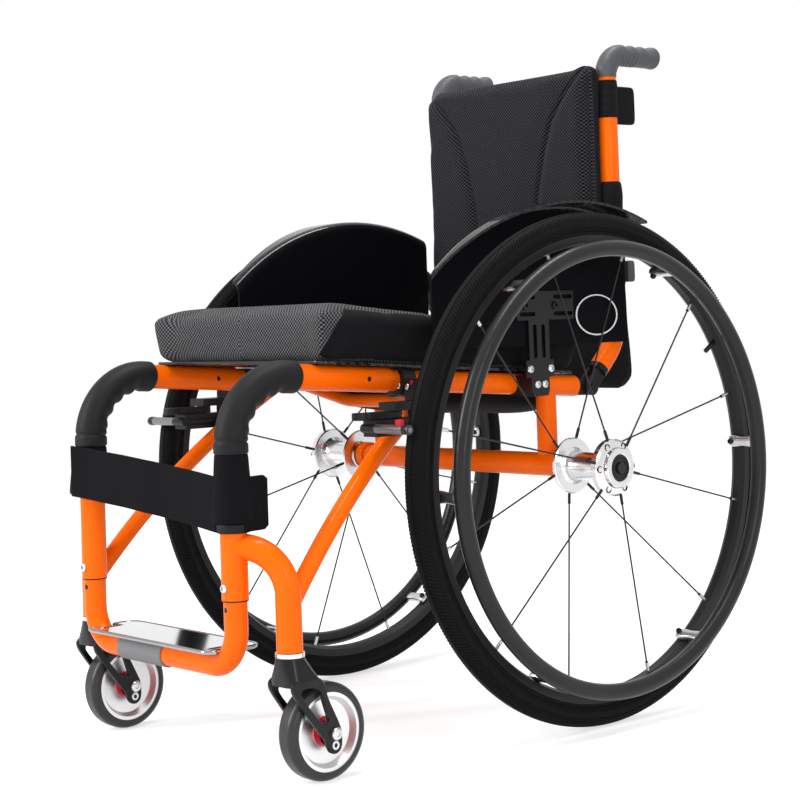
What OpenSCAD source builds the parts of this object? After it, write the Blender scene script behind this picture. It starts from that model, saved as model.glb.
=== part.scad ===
// Active wheelchair with a rigid tube frame, quick-release rear wheels and swivelling front casters.
// It faces -Y, its left side is +X and it stands on the plane Z = 0.

/* [Rear wheels] */
// outside diameter of the tyre
wheel_d = 594; // [560:1:620]
// width of the tyre
tyre_w = 26; // [22:0.5:32]
// depth of the tyre down to the rim
tyre_h = 27; // [24:0.5:32]
// distance from the cushion's sides to the middle of each wheel
wheel_gap = 64; // [57:1:77]
// depth of the rim below the tyre
rim_h = 12; // [9:0.5:20]
// width of the rim
rim_w = 20; // [16:0.5:22]
// number of spokes in each wheel
spoke_n = 12; // [8:2:24]
// diameter of a spoke
spoke_d = 2; // [1.8:0.1:3.2]
// diameter of the hub flanges
flange_d = 66; // [56:1:76]
// diameter of the hub body
hub_d = 36; // [30:1:40]
// outer flange, measured from the wheel's middle
hub_out = 28; // [24:1:32]
// inner flange, measured from the wheel's middle
hub_in = 42; // [36:1:44]
// diameter of the fixed wheel axle
axle_d = 12.7; // [10:0.1:14]

/* [Hand rims] */
// distance of the hand rim's tube in from the tread
handrim_in = 44; // [41:1:50]
// diameter of the hand rim's tube
handrim_tube_d = 19; // [16:0.5:22]
// offset of the hand rim from the wheel's middle
handrim_off = 37; // [33:0.5:42]
// number of tabs
tab_n = 6; // [4:1:8]

/* [Casters] */
// outside diameter of a caster
caster_d = 102; // [95:1:104]
// width of a caster tyre
caster_w = 26; // [22:1:30]
// how far the caster stems stand outside the cushion's sides
caster_out = 19; // [12:1:27]
// distance of the caster stems behind the front legs
caster_set = 30; // [21:1:37]
// trail of the caster axle behind its stem
caster_trail = 39; // [34:1:42]
// diameter of the caster stem
stem_d = 12; // [10:0.5:14]

/* [Frame] */
// outside diameter of the front frame tubes
tube_d = 28.6; // [28.2:0.1:30]
// outside diameter of the rear seat tubes and of the footrest tube
slim_d = 25.4; // [24:0.1:25.8]
// diameter of the braces
brace_d = 19; // [16:0.5:21]
// diameter of the dropped cross tube
cross_d = 16; // [14:0.5:18]
// diameter of the axle tube
axle_tube_d = 28; // [27:0.5:30]
// how far the seat tubes lie in from the cushion's sides
frame_in = 19; // [17:0.5:22]
// angle by which the side frames close in towards the front
splay = 1.6; // [1:0.1:1.8]
// height of the seat tubes above the axle
seat_z = 392; // [386:1:398]
// backward slope of the seat
dump = 4; // [3:0.1:5]
// distance of the front legs ahead of the cushion
leg_ahead = 101; // [94:1:106]
// height of the lower end of the front legs
leg_z = 189; // [185:1:195]
// radius of the front bends
bend_r = 70; // [60:1:78]

/* [Seat] */
// width of the cushion
cushion_w = 336; // [320:1:360]
// depth of the seat from front to back
seat_depth = 406; // [395:1:430]
// thickness of the cushion at its edge
cushion_h = 58; // [45:1:62]
// extra height in the middle of the cushion
crown = 8; // [3:1:10]

/* [Backrest] */
// diameter of the back canes
cane_d = 25; // [22:0.5:26]
// distance of the upright canes behind the axle
cane_y = 130; // [126:1:134]
// height of the push handles
handle_z = 800; // [780:1:850]
// length of the straight part of a push handle
handle_l = 59; // [50:1:70]

/* [Footrest] */
// height of the footrest bar
foot_z = 119; // [118:1:124]
// bend radius of the footrest tube
foot_r = 40; // [34:1:42]
// thickness of the footplate
plate_h = 4; // [3:0.5:6]

/* [Fits] */
// gap all round a turning or sliding fit
fit = 0.05; // [0.03:0.01:0.08]
// gap between neighbouring pieces that move apart
gap = 0.5; // [0.4:0.1:1]

/* [Hidden] */
$fn = 64;

wheel_r = wheel_d / 2;
handrim_r = wheel_r - handrim_in;
caster_r = caster_d / 2;
seat_back = 50;
frame_x = cushion_w / 2 - frame_in;
half_track = cushion_w / 2 + wheel_gap;
leg_y = seat_depth - seat_back + leg_ahead;
caster_x = cushion_w / 2 + caster_out;
caster_y = leg_y - caster_set;
strap_t = 4;
soft_gap = 0.3;
strap_front = leg_y + tube_d / 2 + soft_gap + strap_t;
grip_d = 38;
step_front = 23;
trim_t = 2.5;
front_end = max(grip_d / 2, step_front + trim_t);
axle_y = (leg_y + front_end - wheel_r) / 2;
orange = [1, 0.45, 0.05];
black = [0.08, 0.08, 0.09];
steel = [0.8, 0.8, 0.82];
grey = [0.45, 0.45, 0.47];

// side frame: the seat line runs through the origin of the side plane
leg_t = leg_y / cos(splay);
bend_t = (leg_t - bend_r - bend_r * sin(dump)) / cos(dump);
bend_y = bend_r - leg_t;
bend_z = bend_t * sin(dump) - bend_r * cos(dump);
tube_end = 246;
insert_l = 55;
bore_d = slim_d + 2 * fit;
hinge_y = 76;
hinge_z = seat_z - hinge_y * tan(dump);
hinge_x = frame_x + hinge_y * tan(splay);
leg_x = frame_x - leg_y * tan(splay);

// bends are drawn a hair thinner than the straight runs that lap into them
lap = 1;
thin = 0.2;
// welded pieces meet with this much play on the diameter
seam = 0.02;

// places the chair so that its box is centred over the origin
module from_axle() {
  translate([0, axle_y, 0]) children();
}

// draws flat outlines in the side view, thickness towards +X
module side_view() {
  rotate([90, 0, 90]) children();
}

module right() {
  mirror([1, 0, 0]) children();
}

// plane of the left side frame, its origin on the seat line above the axle
module side_plane() {
  translate([frame_x, 0, seat_z]) rotate([0, 0, -splay]) children();
}

// along the sloping seat line of the left side frame
module seat_line() {
  side_plane() rotate([-dump, 0, 0]) children();
}

// the sloping seat in the middle of the chair
module seat_level() {
  translate([0, 0, seat_z]) rotate([-dump, 0, 0]) children();
}

// round bar between two points
module bar(a, b, d) {
  v = b - a;
  l = norm(v);
  translate(a) rotate([0, acos(v[2] / l), atan2(v[1], v[0])]) cylinder(h = l, d = d);
}

// part of a ring in the plane z = 0, from the x axis onwards
module arc(r, d, angle) {
  rotate_extrude(angle = angle) translate([r, 0]) circle(d = d);
}

// rounded rectangle standing on its middle
module slab2(w, l, r) {
  union() {
    square([w - 2 * r, l], center = true);
    square([w, l - 2 * r], center = true);
    for (x = [-1, 1])
      for (y = [-1, 1])
        translate([x * (w / 2 - r), y * (l / 2 - r)]) circle(r = r);
  }
}

module slab(w, l, h, r) {
  linear_extrude(h) slab2(w, l, r);
}

// front frame tube: seat rail, bend and front leg, bored at both ends
index_d = 6;
index_y = tube_end + 34;
leg_bore = 110;
module frame_tube() {
  difference() {
    union() {
      seat_line() translate([0, -tube_end, 0]) rotate([90, 0, 0])
        cylinder(h = bend_t - tube_end + lap, d = tube_d);
      side_plane() translate([0, bend_y, bend_z]) side_view() rotate([0, 0, 90 - dump])
        arc(bend_r, tube_d - thin, 90 + dump);
      side_plane() translate([0, -leg_t, leg_z - seat_z])
        cylinder(h = seat_z - leg_z + bend_z + lap, d = tube_d);
    }
    seat_line() translate([0, 1 - tube_end, 0]) rotate([90, 0, 0]) cylinder(h = insert_l + 6, d = bore_d);
    side_plane() translate([0, -leg_t, leg_z - seat_z - 1]) cylinder(h = leg_bore, d = bore_d);
    seat_line() translate([0, -index_y, 0]) rotate([0, 90, 0])
      cylinder(h = 2 * tube_d, d = index_d, center = true);
    translate([leg_x, -leg_y, screw_z]) rotate([90, 0, 0]) cylinder(h = tube_d, d = screw_d);
  }
}

module left_frame_tube() {
  color(orange) from_axle() frame_tube();
}

module right_frame_tube() {
  color(orange) from_axle() right() frame_tube();
}

// rear seat tube with the flat tongue that carries the backrest
tongue_w = 7;
tongue_r = 11;
pin_d = 8;
seat_tube_end = 50;
module seat_tube() {
  difference() {
    union() {
      seat_line() translate([0, seat_tube_end, 0]) rotate([90, 0, 0])
        cylinder(h = seat_tube_end + tube_end + insert_l, d = slim_d);
      translate([hinge_x - tongue_w / 2, 0, 0]) side_view() linear_extrude(tongue_w)
        union() {
          translate([hinge_y, hinge_z]) circle(r = tongue_r);
          translate([seat_tube_end - 8, hinge_z - tongue_r + 1])
            square([hinge_y - seat_tube_end + 8, 2 * tongue_r - 2]);
        }
    }
    translate([0, hinge_y, hinge_z]) rotate([0, 90, 0]) cylinder(h = 2 * hinge_x, d = pin_d + 2 * fit);
    seat_bolt_holes();
  }
}

module left_seat_tube() {
  color(orange) from_axle() seat_tube();
}

module right_seat_tube() {
  color(orange) from_axle() right() seat_tube();
}

// bent tube from the front leg out to the caster housing
caster_run = norm([caster_x - leg_x, leg_y - caster_y]);
caster_turn = atan2(leg_y - caster_y, caster_x - leg_x);
caster_leg_r = 50;
caster_leg_z = 245;
housing_z = caster_d + 36;
caster_tube_d = tube_d - 1;
module caster_leg_run(d) {
  translate([leg_x, -leg_y, caster_leg_z]) rotate([0, 0, caster_turn]) {
    rotate([0, 90, 0]) cylinder(h = caster_run - caster_leg_r + lap, d = d);
    translate([caster_run - caster_leg_r, 0, -caster_leg_r]) rotate([90, 0, 0])
      arc(caster_leg_r, d - thin, 90);
  }
  translate([caster_x, -caster_y, housing_z])
    cylinder(h = caster_leg_z - caster_leg_r - housing_z + lap, d = d);
}

stem_l = 46;
module caster_leg() {
  difference() {
    caster_leg_run(caster_tube_d);
    translate([leg_x, -leg_y, leg_z]) cylinder(h = seat_z - leg_z, d = tube_d + seam);
    translate([caster_x, -caster_y, housing_z - 1]) cylinder(h = stem_l + 2, d = stem_d + 2 * fit);
  }
}

module left_caster_leg() {
  color(orange) from_axle() caster_leg();
}

module right_caster_leg() {
  color(orange) from_axle() right() caster_leg();
}

// curved brace from the caster leg up to the seat tube
brace_top_y = -168;
brace_low = [caster_x - 2, -caster_y + 6, caster_leg_z - caster_leg_r - 8];
brace_top = [frame_x + brace_top_y * tan(splay), brace_top_y, seat_z - brace_top_y * tan(dump)];
brace_rise = 15;
module brace() {
  v = brace_top - brace_low;
  l = norm(v);
  r = l * l / (8 * brace_rise) + brace_rise / 2;
  half = asin(l / (2 * r));
  difference() {
    translate(brace_low) rotate([0, 0, atan2(v[1], v[0])]) rotate([0, -asin(v[2] / l), 0])
      rotate([90, 0, 0]) translate([l / 2, brace_rise - r, 0]) rotate([0, 0, 90 - half])
        arc(r, brace_d, 2 * half);
    caster_leg_run(caster_tube_d);
    seat_line() rotate([90, 0, 0]) cylinder(h = tube_end, d = slim_d);
  }
}

module left_brace() {
  color(orange) from_axle() brace();
}

module right_brace() {
  color(orange) from_axle() right() brace();
}

// upright between the seat tube and the axle tube
upright_y = 4;
upright_d = slim_d - 1;
module axle_upright() {
  difference() {
    translate([frame_x, upright_y, wheel_r]) cylinder(h = seat_z - wheel_r, d = upright_d);
    seat_line() translate([0, upright_d, 0]) rotate([90, 0, 0]) cylinder(h = 2 * upright_d, d = slim_d);
    translate([0, 0, wheel_r]) rotate([0, 90, 0]) cylinder(h = 2 * frame_x, d = axle_tube_d);
  }
}

module left_axle_upright() {
  color(orange) from_axle() axle_upright();
}

module right_axle_upright() {
  color(orange) from_axle() right() axle_upright();
}

// tube that joins the two hubs, with a collar at each end
collar_d = axle_tube_d + 6;
axle_seat = 60;
axle_tube_l = half_track - hub_in - 5;
module axle_tube() {
  color(orange) from_axle() translate([0, 0, wheel_r]) rotate([0, 90, 0])
    difference() {
      union() {
        cylinder(h = 2 * axle_tube_l, d = axle_tube_d, center = true);
        for (s = [-1, 1])
          translate([0, 0, s * (axle_tube_l - 6)]) cylinder(h = 12, d = collar_d, center = true);
      }
      for (s = [-1, 1])
        translate([0, 0, s * axle_tube_l]) cylinder(h = 2 * axle_seat, d = axle_d, center = true);
    }
}

// fixed quick-release axles, one for each wheel
axle_end = half_track + hub_out - 4;
module wheel_axles() {
  color(steel) from_axle() translate([0, 0, wheel_r]) rotate([0, 90, 0])
    for (s = [-1, 1])
      translate([0, 0, s * (axle_tube_l - axle_seat + axle_end) / 2])
        cylinder(h = axle_end - axle_tube_l + axle_seat, d = axle_d, center = true);
}

// cross tube under the seat, lower in the middle
cross_y = -140;
cross_drop = 23;
cross_flat = 40;
cross_bend = 80;
cross_z = seat_z - cross_y * tan(dump);
cross_x = frame_x + cross_y * tan(splay);
cross_angle = atan2(cross_drop, cross_x - cross_flat);
module cross_half() {
  rotate([0, 90, 0]) cylinder(h = cross_flat + lap, d = cross_d);
  translate([cross_flat, 0, cross_bend]) rotate([90, 0, 0]) rotate([0, 0, -90])
    arc(cross_bend, cross_d - thin, cross_angle);
  translate([cross_flat + cross_bend * sin(cross_angle), 0, cross_bend * (1 - cos(cross_angle))])
    rotate([0, 90 - cross_angle, 0]) translate([0, 0, -lap])
      cylinder(h = cross_x - cross_flat + lap, d = cross_d);
}

module cross_tube() {
  color(orange) from_axle() difference() {
    translate([0, cross_y, cross_z - cross_drop]) union() {
      cross_half();
      right() cross_half();
      rotate([0, 90, 0]) cylinder(h = cross_flat, d = cross_d, center = true);
    }
    for (m = [0, 1])
      mirror([m, 0, 0]) {
        seat_line() rotate([90, 0, 0]) cylinder(h = tube_end, d = slim_d);
        translate([cross_x, cross_y - tube_d, cross_z - tube_d])
          cube([tube_d, 2 * tube_d, 2 * tube_d]);
      }
  }
}

// foam grip over the front bend
grip_back = 12;
grip_down = 8;
module bend_grip_run(d, bend_d, extra, over) {
  seat_line() translate([0, -bend_t + grip_back + extra, 0]) rotate([90, 0, 0])
    cylinder(h = grip_back + extra + over, d = d);
  side_plane() translate([0, bend_y, bend_z]) side_view() rotate([0, 0, 90 - dump])
    arc(bend_r, bend_d, 90 + dump);
  side_plane() translate([0, -leg_t, bend_z - grip_down - extra])
    cylinder(h = grip_down + extra + over, d = d);
}

module bend_grip() {
  difference() {
    bend_grip_run(grip_d, grip_d - thin, 0, lap);
    bend_grip_run(tube_d + 2 * fit, tube_d - thin + 2 * fit, 1, lap + fit);
  }
}

module left_bend_grip() {
  color(black) from_axle() bend_grip();
}

module right_bend_grip() {
  color(black) from_axle() right() bend_grip();
}

// seat plate on the rails and the cushion on it
plate_t = 3.5;
seat_mid = seat_back - seat_depth / 2;
seat_top = tube_d / 2 + plate_t;
module seat_plate() {
  color(black) from_axle() seat_level()
    translate([0, seat_mid, tube_d / 2]) slab(cushion_w - 16, seat_depth - 6, plate_t, 14);
}

tuck = 12;
edge_in = 16;
roll_in = 60;
crown_in = 180;
crown_r = 60;
roll_r = 40;
module cushion_layer(z, inset, h, r) {
  translate([0, 0, z]) slab(cushion_w - inset, seat_depth - inset, h, r);
}

module seat_cushion() {
  color(black) from_axle() seat_level()
    translate([0, seat_mid, seat_top + soft_gap / 2]) hull() {
      cushion_layer(0, tuck, 1, edge_in - 2);
      cushion_layer(8, 0, cushion_h - 24, edge_in);
      cushion_layer(cushion_h - 6, edge_in, 1, edge_in + 2);
      cushion_layer(cushion_h, roll_in, 1, roll_r);
      cushion_layer(cushion_h + crown - 1, crown_in, 1, crown_r);
    }
}

// fabric pouch that hangs under the rear of the seat
pouch_w = 2 * (frame_x - slim_d / 2) - 14;
pouch_low = 36;
pouch_back = 44;
pouch_gap = 26;
pouch_l = pouch_back - cross_y - cross_d / 2 - pouch_gap;
module seat_pouch() {
  color(black) from_axle() seat_level() translate([0, pouch_back - pouch_l / 2, 0]) hull() {
    translate([0, 0, -pouch_low]) slab(pouch_w - 30, pouch_l - 30, 1, 20);
    translate([0, 0, -pouch_low + 14]) slab(pouch_w, pouch_l, 10, 20);
    translate([0, 0, tube_d / 2 - 1 - soft_gap / 2]) slab(pouch_w, pouch_l, 1, 20);
  }
}

// calf strap with a sleeve round each leg and a loose end
strap_h = 74;
strap_gap = 0.9;
strap_low = seat_z + bend_z - grip_down - strap_gap - strap_h;
flap_h = 56;
flap_l = 50;
flap_up = 6;
module calf_strap() {
  color([0.1, 0.1, 0.11]) from_axle() difference() {
    translate([0, -leg_y, strap_low]) union() {
      linear_extrude(strap_h) union() {
        for (s = [-1, 1])
          translate([s * leg_x, 0]) circle(d = tube_d + 2 * (soft_gap + strap_t));
        translate([-leg_x, leg_y - strap_front]) square([2 * leg_x, strap_t]);
      }
      translate([leg_x + tube_d / 2, 0, flap_up])
        cube([strap_t, flap_l, flap_h]);
    }
    for (s = [-1, 1])
      translate([s * leg_x, -leg_y, leg_z]) cylinder(h = seat_z - leg_z, d = tube_d + soft_gap);
  }
}

// side guard: plate beside the wheel with a lip over the tyre
guard_gap = 10;
guard_x = cushion_w / 2 + guard_gap;
guard_t = 3;
guard_r = wheel_r + 15;
guard_low = 48;
lip_low = 105;
guard_front = 206;
guard_back = 118;
lip_w = 42;
lip_r = 12;
lip_nose = 14;
lip_taper = 150;
badge_y = 55;
badge_z = 474;
badge_r = 26;
badge_t = 1.2;
module guard_profile() {
  difference() {
    union() {
      translate([0, guard_x]) square([guard_r - lip_r, guard_t]);
      translate([guard_r - lip_r, guard_x + lip_r]) circle(r = lip_r);
      translate([guard_r - guard_t, guard_x + lip_r]) square([guard_t, lip_w - lip_r]);
    }
    translate([guard_r - lip_r, guard_x + lip_r]) circle(r = lip_r - guard_t);
    translate([guard_r - 2 * lip_r - 1, guard_x + guard_t]) square([lip_r + 1, 2 * lip_r]);
    translate([guard_r - lip_r - 1, guard_x + lip_r]) square([lip_r + 1 - guard_t, lip_r + 1]);
  }
}

module side_guard() {
  difference() {
    union() {
      intersection() {
        translate([0, 0, wheel_r]) rotate([0, 90, 0]) rotate_extrude($fn = 180) guard_profile();
        union() {
          translate([0, -guard_front, seat_z + guard_low])
            cube([guard_x + guard_t, guard_front + guard_back, wheel_r]);
          translate([guard_x, -guard_front, seat_z + lip_low])
            cube([2 * lip_w, guard_front + guard_back, wheel_r]);
        }
      }
      translate([guard_x + 1, badge_y, badge_z]) rotate([0, 90, 0])
        cylinder(h = guard_t + badge_t - 1, r = badge_r);
    }
    // the lip narrows towards its front end
    translate([0, 0, seat_z]) linear_extrude(2 * wheel_r) polygon([
      [guard_x + lip_nose, -guard_front], [guard_x + lip_w, lip_taper - guard_front],
      [guard_x + 2 * lip_w, lip_taper - guard_front], [guard_x + 2 * lip_w, -guard_front - 1],
      [guard_x + lip_nose, -guard_front - 1]]);
    guard_bolt_holes(guard_bolt_d);
  }
}

module left_side_guard() {
  color(black) from_axle() side_guard();
}

module right_side_guard() {
  color(black) from_axle() right() side_guard();
}

// slotted T bracket outside the guard, on a block on the seat tube
bracket_y = -40;
bracket_w = 34;
bracket_t = 3;
bracket_x = guard_x + guard_t;
foot_w = 46;
foot_low = 403;
foot_high = 423;
lug_w = 30;
lug_low = 381;
lug_r = 8;
arm_y = -28;
arm_z = 487;
arm_l = 96;
arm_h = 34;
guard_bolt_d = 5;
guard_bolt_y = [-62, -12];
foot_bolt_z = 413;
foot_bolt_y = 17;
seat_bolt_y = 6;
block_h = 24;
bracket_line = seat_z - bracket_y * tan(dump);
module slot(l, h) {
  union() {
    square([l - h, h], center = true);
    for (s = [-1, 1])
      translate([s * (l - h) / 2, 0]) circle(d = h);
  }
}

module guard_bolt_holes(d) {
  for (y = guard_bolt_y)
    translate([guard_x - 5, y, arm_z]) rotate([0, 90, 0]) cylinder(h = 20, d = d);
}

module seat_bolt_holes() {
  for (s = [-1, 1])
    translate([frame_x - slim_d, bracket_y + s * seat_bolt_y, bracket_line])
      rotate([0, 90, 0]) cylinder(h = bracket_x - frame_x + 2 * slim_d, d = guard_bolt_d);
}

module guard_bracket() {
  difference() {
    union() {
      translate([bracket_x, 0, 0]) side_view() linear_extrude(bracket_t) difference() {
        union() {
          translate([bracket_y - foot_w / 2, foot_low]) square([foot_w, foot_high - foot_low]);
          translate([bracket_y - lug_w / 2, lug_low + lug_r]) square([lug_w, foot_low - lug_low]);
          translate([bracket_y, lug_low + lug_r]) slot(lug_w, 2 * lug_r);
          translate([bracket_y - bracket_w / 2, foot_high]) square([bracket_w, arm_z - foot_high]);
          translate([arm_y, arm_z]) square([arm_l, arm_h], center = true);
        }
        for (s = [-1, 1])
          translate([bracket_y + s * 7, foot_high + 22]) rotate([0, 0, 90]) slot(40, 6);
        for (s = [-1, 1])
          translate([arm_y + 30, arm_z + s * 10]) slot(32, 5);
        for (s = [-1, 1])
          translate([arm_y - 30, arm_z + s * 10]) slot(26, 5);
      }
      translate([frame_x, bracket_y - lug_w / 2, lug_low])
        cube([bracket_x - frame_x + 1, lug_w, block_h]);
    }
    seat_line() translate([0, foot_w, 0]) rotate([90, 0, 0]) cylinder(h = 3 * foot_w, d = slim_d + seam);
    guard_bolt_holes(guard_bolt_d);
    seat_bolt_holes();
    for (s = [-1, 1])
      translate([bracket_x - 1, bracket_y + s * foot_bolt_y, foot_bolt_z])
        rotate([0, 90, 0]) cylinder(h = bracket_t + 2, d = guard_bolt_d);
  }
}

module left_guard_bracket() {
  color(black) from_axle() guard_bracket();
}

module right_guard_bracket() {
  color(black) from_axle() right() guard_bracket();
}

// round-headed bolt along +X, the head outside
module bolt(d, l) {
  translate([-l, 0, 0]) rotate([0, 90, 0]) cylinder(h = l, d = d);
  rotate([0, 90, 0]) cylinder(h = 3, d = 2 * d);
}

screw_d = 5;
screw_z = leg_z + 14;
module side_bolts() {
  for (y = guard_bolt_y)
    translate([bracket_x + bracket_t, y, arm_z]) bolt(guard_bolt_d, guard_t + bracket_t);
  for (s = [-1, 1]) {
    translate([bracket_x + bracket_t, bracket_y + s * foot_bolt_y, foot_bolt_z])
      bolt(guard_bolt_d, bracket_t);
    translate([bracket_x + bracket_t, bracket_y + s * seat_bolt_y, bracket_line])
      bolt(guard_bolt_d, bracket_x + bracket_t - frame_x + 8);
  }
  translate([leg_x, -leg_y - tube_d / 2, screw_z]) rotate([0, 0, -90])
    bolt(screw_d, (tube_d - bore_d) / 2);
}

module frame_bolts() {
  color(steel) from_axle() union() {
    side_bolts();
    right() side_bolts();
  }
}

// wheel lock: clamp on the seat tube with a base under it and two upright pins
clamp_y = -226;
clamp_l = 18;
clamp_d = slim_d + 14;
base_x = guard_x + 1;
base_w = 28;
base_low = 377;
base_t = 9;
base_in = frame_x + 13;
lock_pin_d = 7;
shoe_y = -242;
shoe_z = 350;
shoe_h = 18;
shoe_bar_d = 10;
lever_y = -264;
lever_z = shoe_z + shoe_h + gap;
lever_h = base_low - gap - lever_z;
module brake_clamp() {
  difference() {
    union() {
      seat_line() translate([0, clamp_y + clamp_l / 2, 0]) rotate([90, 0, 0])
        cylinder(h = clamp_l, d = clamp_d);
      translate([base_in, clamp_y - clamp_l / 2, base_low])
        cube([base_x + base_w / 2 - base_in, clamp_l, seat_z - base_low + clamp_l]);
      translate([base_x - base_w / 2, lever_y - 12, base_low])
        cube([base_w, clamp_y - lever_y + 12, base_t]);
      translate([base_x, shoe_y, shoe_z - 3]) cylinder(h = base_low - shoe_z + 4, d = lock_pin_d);
      translate([base_x, lever_y, lever_z]) cylinder(h = base_low - lever_z + 1, d = lock_pin_d);
    }
    seat_line() rotate([90, 0, 0]) cylinder(h = -2 * clamp_y, d = slim_d + seam);
    seat_line() translate([-clamp_d, 2 * clamp_y, tube_d / 2 - gap])
      cube([4 * clamp_d, -2 * clamp_y, clamp_d]);
  }
}

module left_brake_clamp() {
  color(black) from_axle() brake_clamp();
}

module right_brake_clamp() {
  color(black) from_axle() right() brake_clamp();
}

// lever that swings in under the seat
lever_l = 50;
lever_w = 20;
module brake_lever() {
  translate([base_x, lever_y, lever_z]) difference() {
    linear_extrude(lever_h) union() {
      circle(d = 14);
      translate([-7, -lever_l]) square([14, lever_l]);
      translate([0, -lever_l]) circle(d = lever_w);
    }
    translate([0, 0, -1]) cylinder(h = lever_h + 2, d = lock_pin_d + 2 * fit);
  }
}

// arm with the round bar that presses on the tyre
shoe_bar_y = -301.7;
shoe_bar_l = 76;
shoe_w = 22;
fin_t = 4.6;
fin_in = 3;
module shoe_outline(w) {
  l = shoe_y - shoe_bar_y - (shoe_w - w) / 2;
  union() {
    circle(d = w);
    translate([-w / 2, -l]) square([w, l]);
  }
}

module brake_shoe() {
  difference() {
    union() {
      translate([base_x, shoe_y, shoe_z]) {
        linear_extrude(shoe_h) shoe_outline(shoe_w - 2 * fin_in);
        for (k = [0:2])
          translate([0, 0, k * (shoe_h - fin_t) / 2]) linear_extrude(fin_t) shoe_outline(shoe_w);
      }
      translate([base_x - shoe_w / 2, shoe_bar_y, shoe_z + shoe_h / 2]) rotate([0, 90, 0])
        cylinder(h = shoe_bar_l, d = shoe_bar_d);
    }
    translate([base_x, shoe_y, shoe_z - 1]) cylinder(h = shoe_h + 2, d = lock_pin_d + 2 * fit);
  }
}

module left_brake_lever() {
  color(black) from_axle() brake_lever();
}

module right_brake_lever() {
  color(black) from_axle() right() brake_lever();
}

module left_brake_shoe() {
  color(grey) from_axle() brake_shoe();
}

module right_brake_shoe() {
  color(grey) from_axle() right() brake_shoe();
}

// back cane: forked foot on the hinge, slope, upright and handle core
cheek_t = 4;
cheek_h = 18;
core_d = 19;
handle_r = 28;
cane_slope = 45;
cane_bend = 60;
slope_run = (cane_y - hinge_y - cane_bend * (1 - cos(cane_slope))) / sin(cane_slope);
bend_top = hinge_z + slope_run * cos(cane_slope) + cane_bend * sin(cane_slope);
core_low = handle_z - handle_r - 2;
cheek_in = tongue_w / 2 + gap;
foot_l = 24;
module handle_run(d, extra) {
  translate([hinge_x, cane_y, core_low - extra])
    cylinder(h = handle_z - handle_r - core_low + extra, d = d);
  translate([hinge_x, cane_y + handle_r, handle_z - handle_r]) side_view()
    rotate([0, 0, 90]) arc(handle_r, d, 90);
  translate([hinge_x, cane_y + handle_r, handle_z]) rotate([-90, 0, 0])
    cylinder(h = handle_l + extra, d = d);
}

module cane() {
  union() {
    translate([hinge_x, hinge_y, hinge_z]) rotate([-cane_slope, 0, 0]) {
      translate([0, 0, foot_l]) cylinder(h = slope_run - foot_l + lap, d = cane_d);
      for (s = [-1, 1])
        translate([s * (cheek_in + cheek_t / 2) - cheek_t / 2, 0, 0]) side_view()
          linear_extrude(cheek_t) union() {
            circle(r = tongue_r);
            translate([-cheek_h / 2, 0]) square([cheek_h, foot_l + 2]);
          }
    }
    translate([hinge_x, hinge_y, hinge_z]) rotate([0, 90, 0])
      cylinder(h = 2 * (cheek_in + cheek_t + 2), d = pin_d, center = true);
    translate([hinge_x, cane_y - cane_bend, bend_top]) side_view()
      rotate([0, 0, -cane_slope]) arc(cane_bend, cane_d - thin, cane_slope);
    translate([hinge_x, cane_y, bend_top - lap]) cylinder(h = core_low - bend_top + lap, d = cane_d);
    handle_run(core_d, 0);
  }
}

module left_cane() {
  color(orange) from_axle() cane();
}

module right_cane() {
  color(orange) from_axle() right() cane();
}

// push grip over the handle core
push_d = 28;
module push_grip() {
  difference() {
    union() {
      handle_run(push_d, 0);
      translate([hinge_x, cane_y + handle_r + handle_l, handle_z]) rotate([-90, 0, 0])
        cylinder(h = 5, d = push_d);
    }
    handle_run(core_d + 2 * fit, fit);
  }
}

module left_push_grip() {
  color(grey) from_axle() push_grip();
}

module right_push_grip() {
  color(grey) from_axle() right() push_grip();
}

// padded back with a bolster at each side and bands round the canes
pad_low = 508;
pad_drop = 17;
pad_top = handle_z - pad_drop;
pad_t = 20;
pad_half = hinge_x + 2;
bolster_w = 56;
bolster_rise = 4;
band_t = 3;
band_part = 0.476;
band_down = 64;
bands = [[pad_low, band_part * (pad_top - pad_low)], [pad_top - band_down, band_down - pad_drop]];
pad_back = cane_y - push_d / 2 - soft_gap;
module back_pad(w, x, t) {
  h = pad_top - pad_low;
  translate([x, pad_back, (pad_low + pad_top) / 2]) rotate([90, 0, 0]) hull() {
    slab(w, h, t - 9, 18);
    translate([0, 0, t - 1]) slab(w - 16, h - 16, 1, 14);
  }
}

module back_upholstery() {
  color(black) from_axle() union() {
    difference() {
      union() {
        back_pad(2 * pad_half - 2 * bolster_w + 10, 0, pad_t);
        for (s = [-1, 1])
          back_pad(bolster_w, s * (pad_half - bolster_w / 2), pad_t + bolster_rise);
        for (s = [-1, 1])
          translate([s * hinge_x, 0, 0])
            for (b = bands)
              translate([0, cane_y, b[0]]) cylinder(h = b[1], d = cane_d + 2 * (band_t + soft_gap));
      }
      for (s = [-1, 1])
        translate([s * hinge_x, cane_y, bend_top])
          cylinder(h = core_low - bend_top, d = cane_d + soft_gap);
    }
  }
}

// lower sling that bulges out behind the canes
sling_low = 392;
sling_up = 54;
sling_top = pad_low + sling_up;
sling_back = 203;
sling_in = 8;
module back_sling() {
  color(black) from_axle() difference() {
    hull() {
      translate([0, sling_back - 14, sling_low + 8])
        slab(2 * hinge_x - 60, 26, sling_top - sling_low - 40, 12);
      translate([0, cane_y + 18, sling_low])
        slab(2 * hinge_x - sling_in, 12, sling_top - sling_low, 5);
    }
    for (s = [-1, 1])
      translate([s * hinge_x, cane_y, 0])
        cylinder(h = handle_z, d = cane_d + 2 * (band_t + 2 * soft_gap));
  }
}

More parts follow.
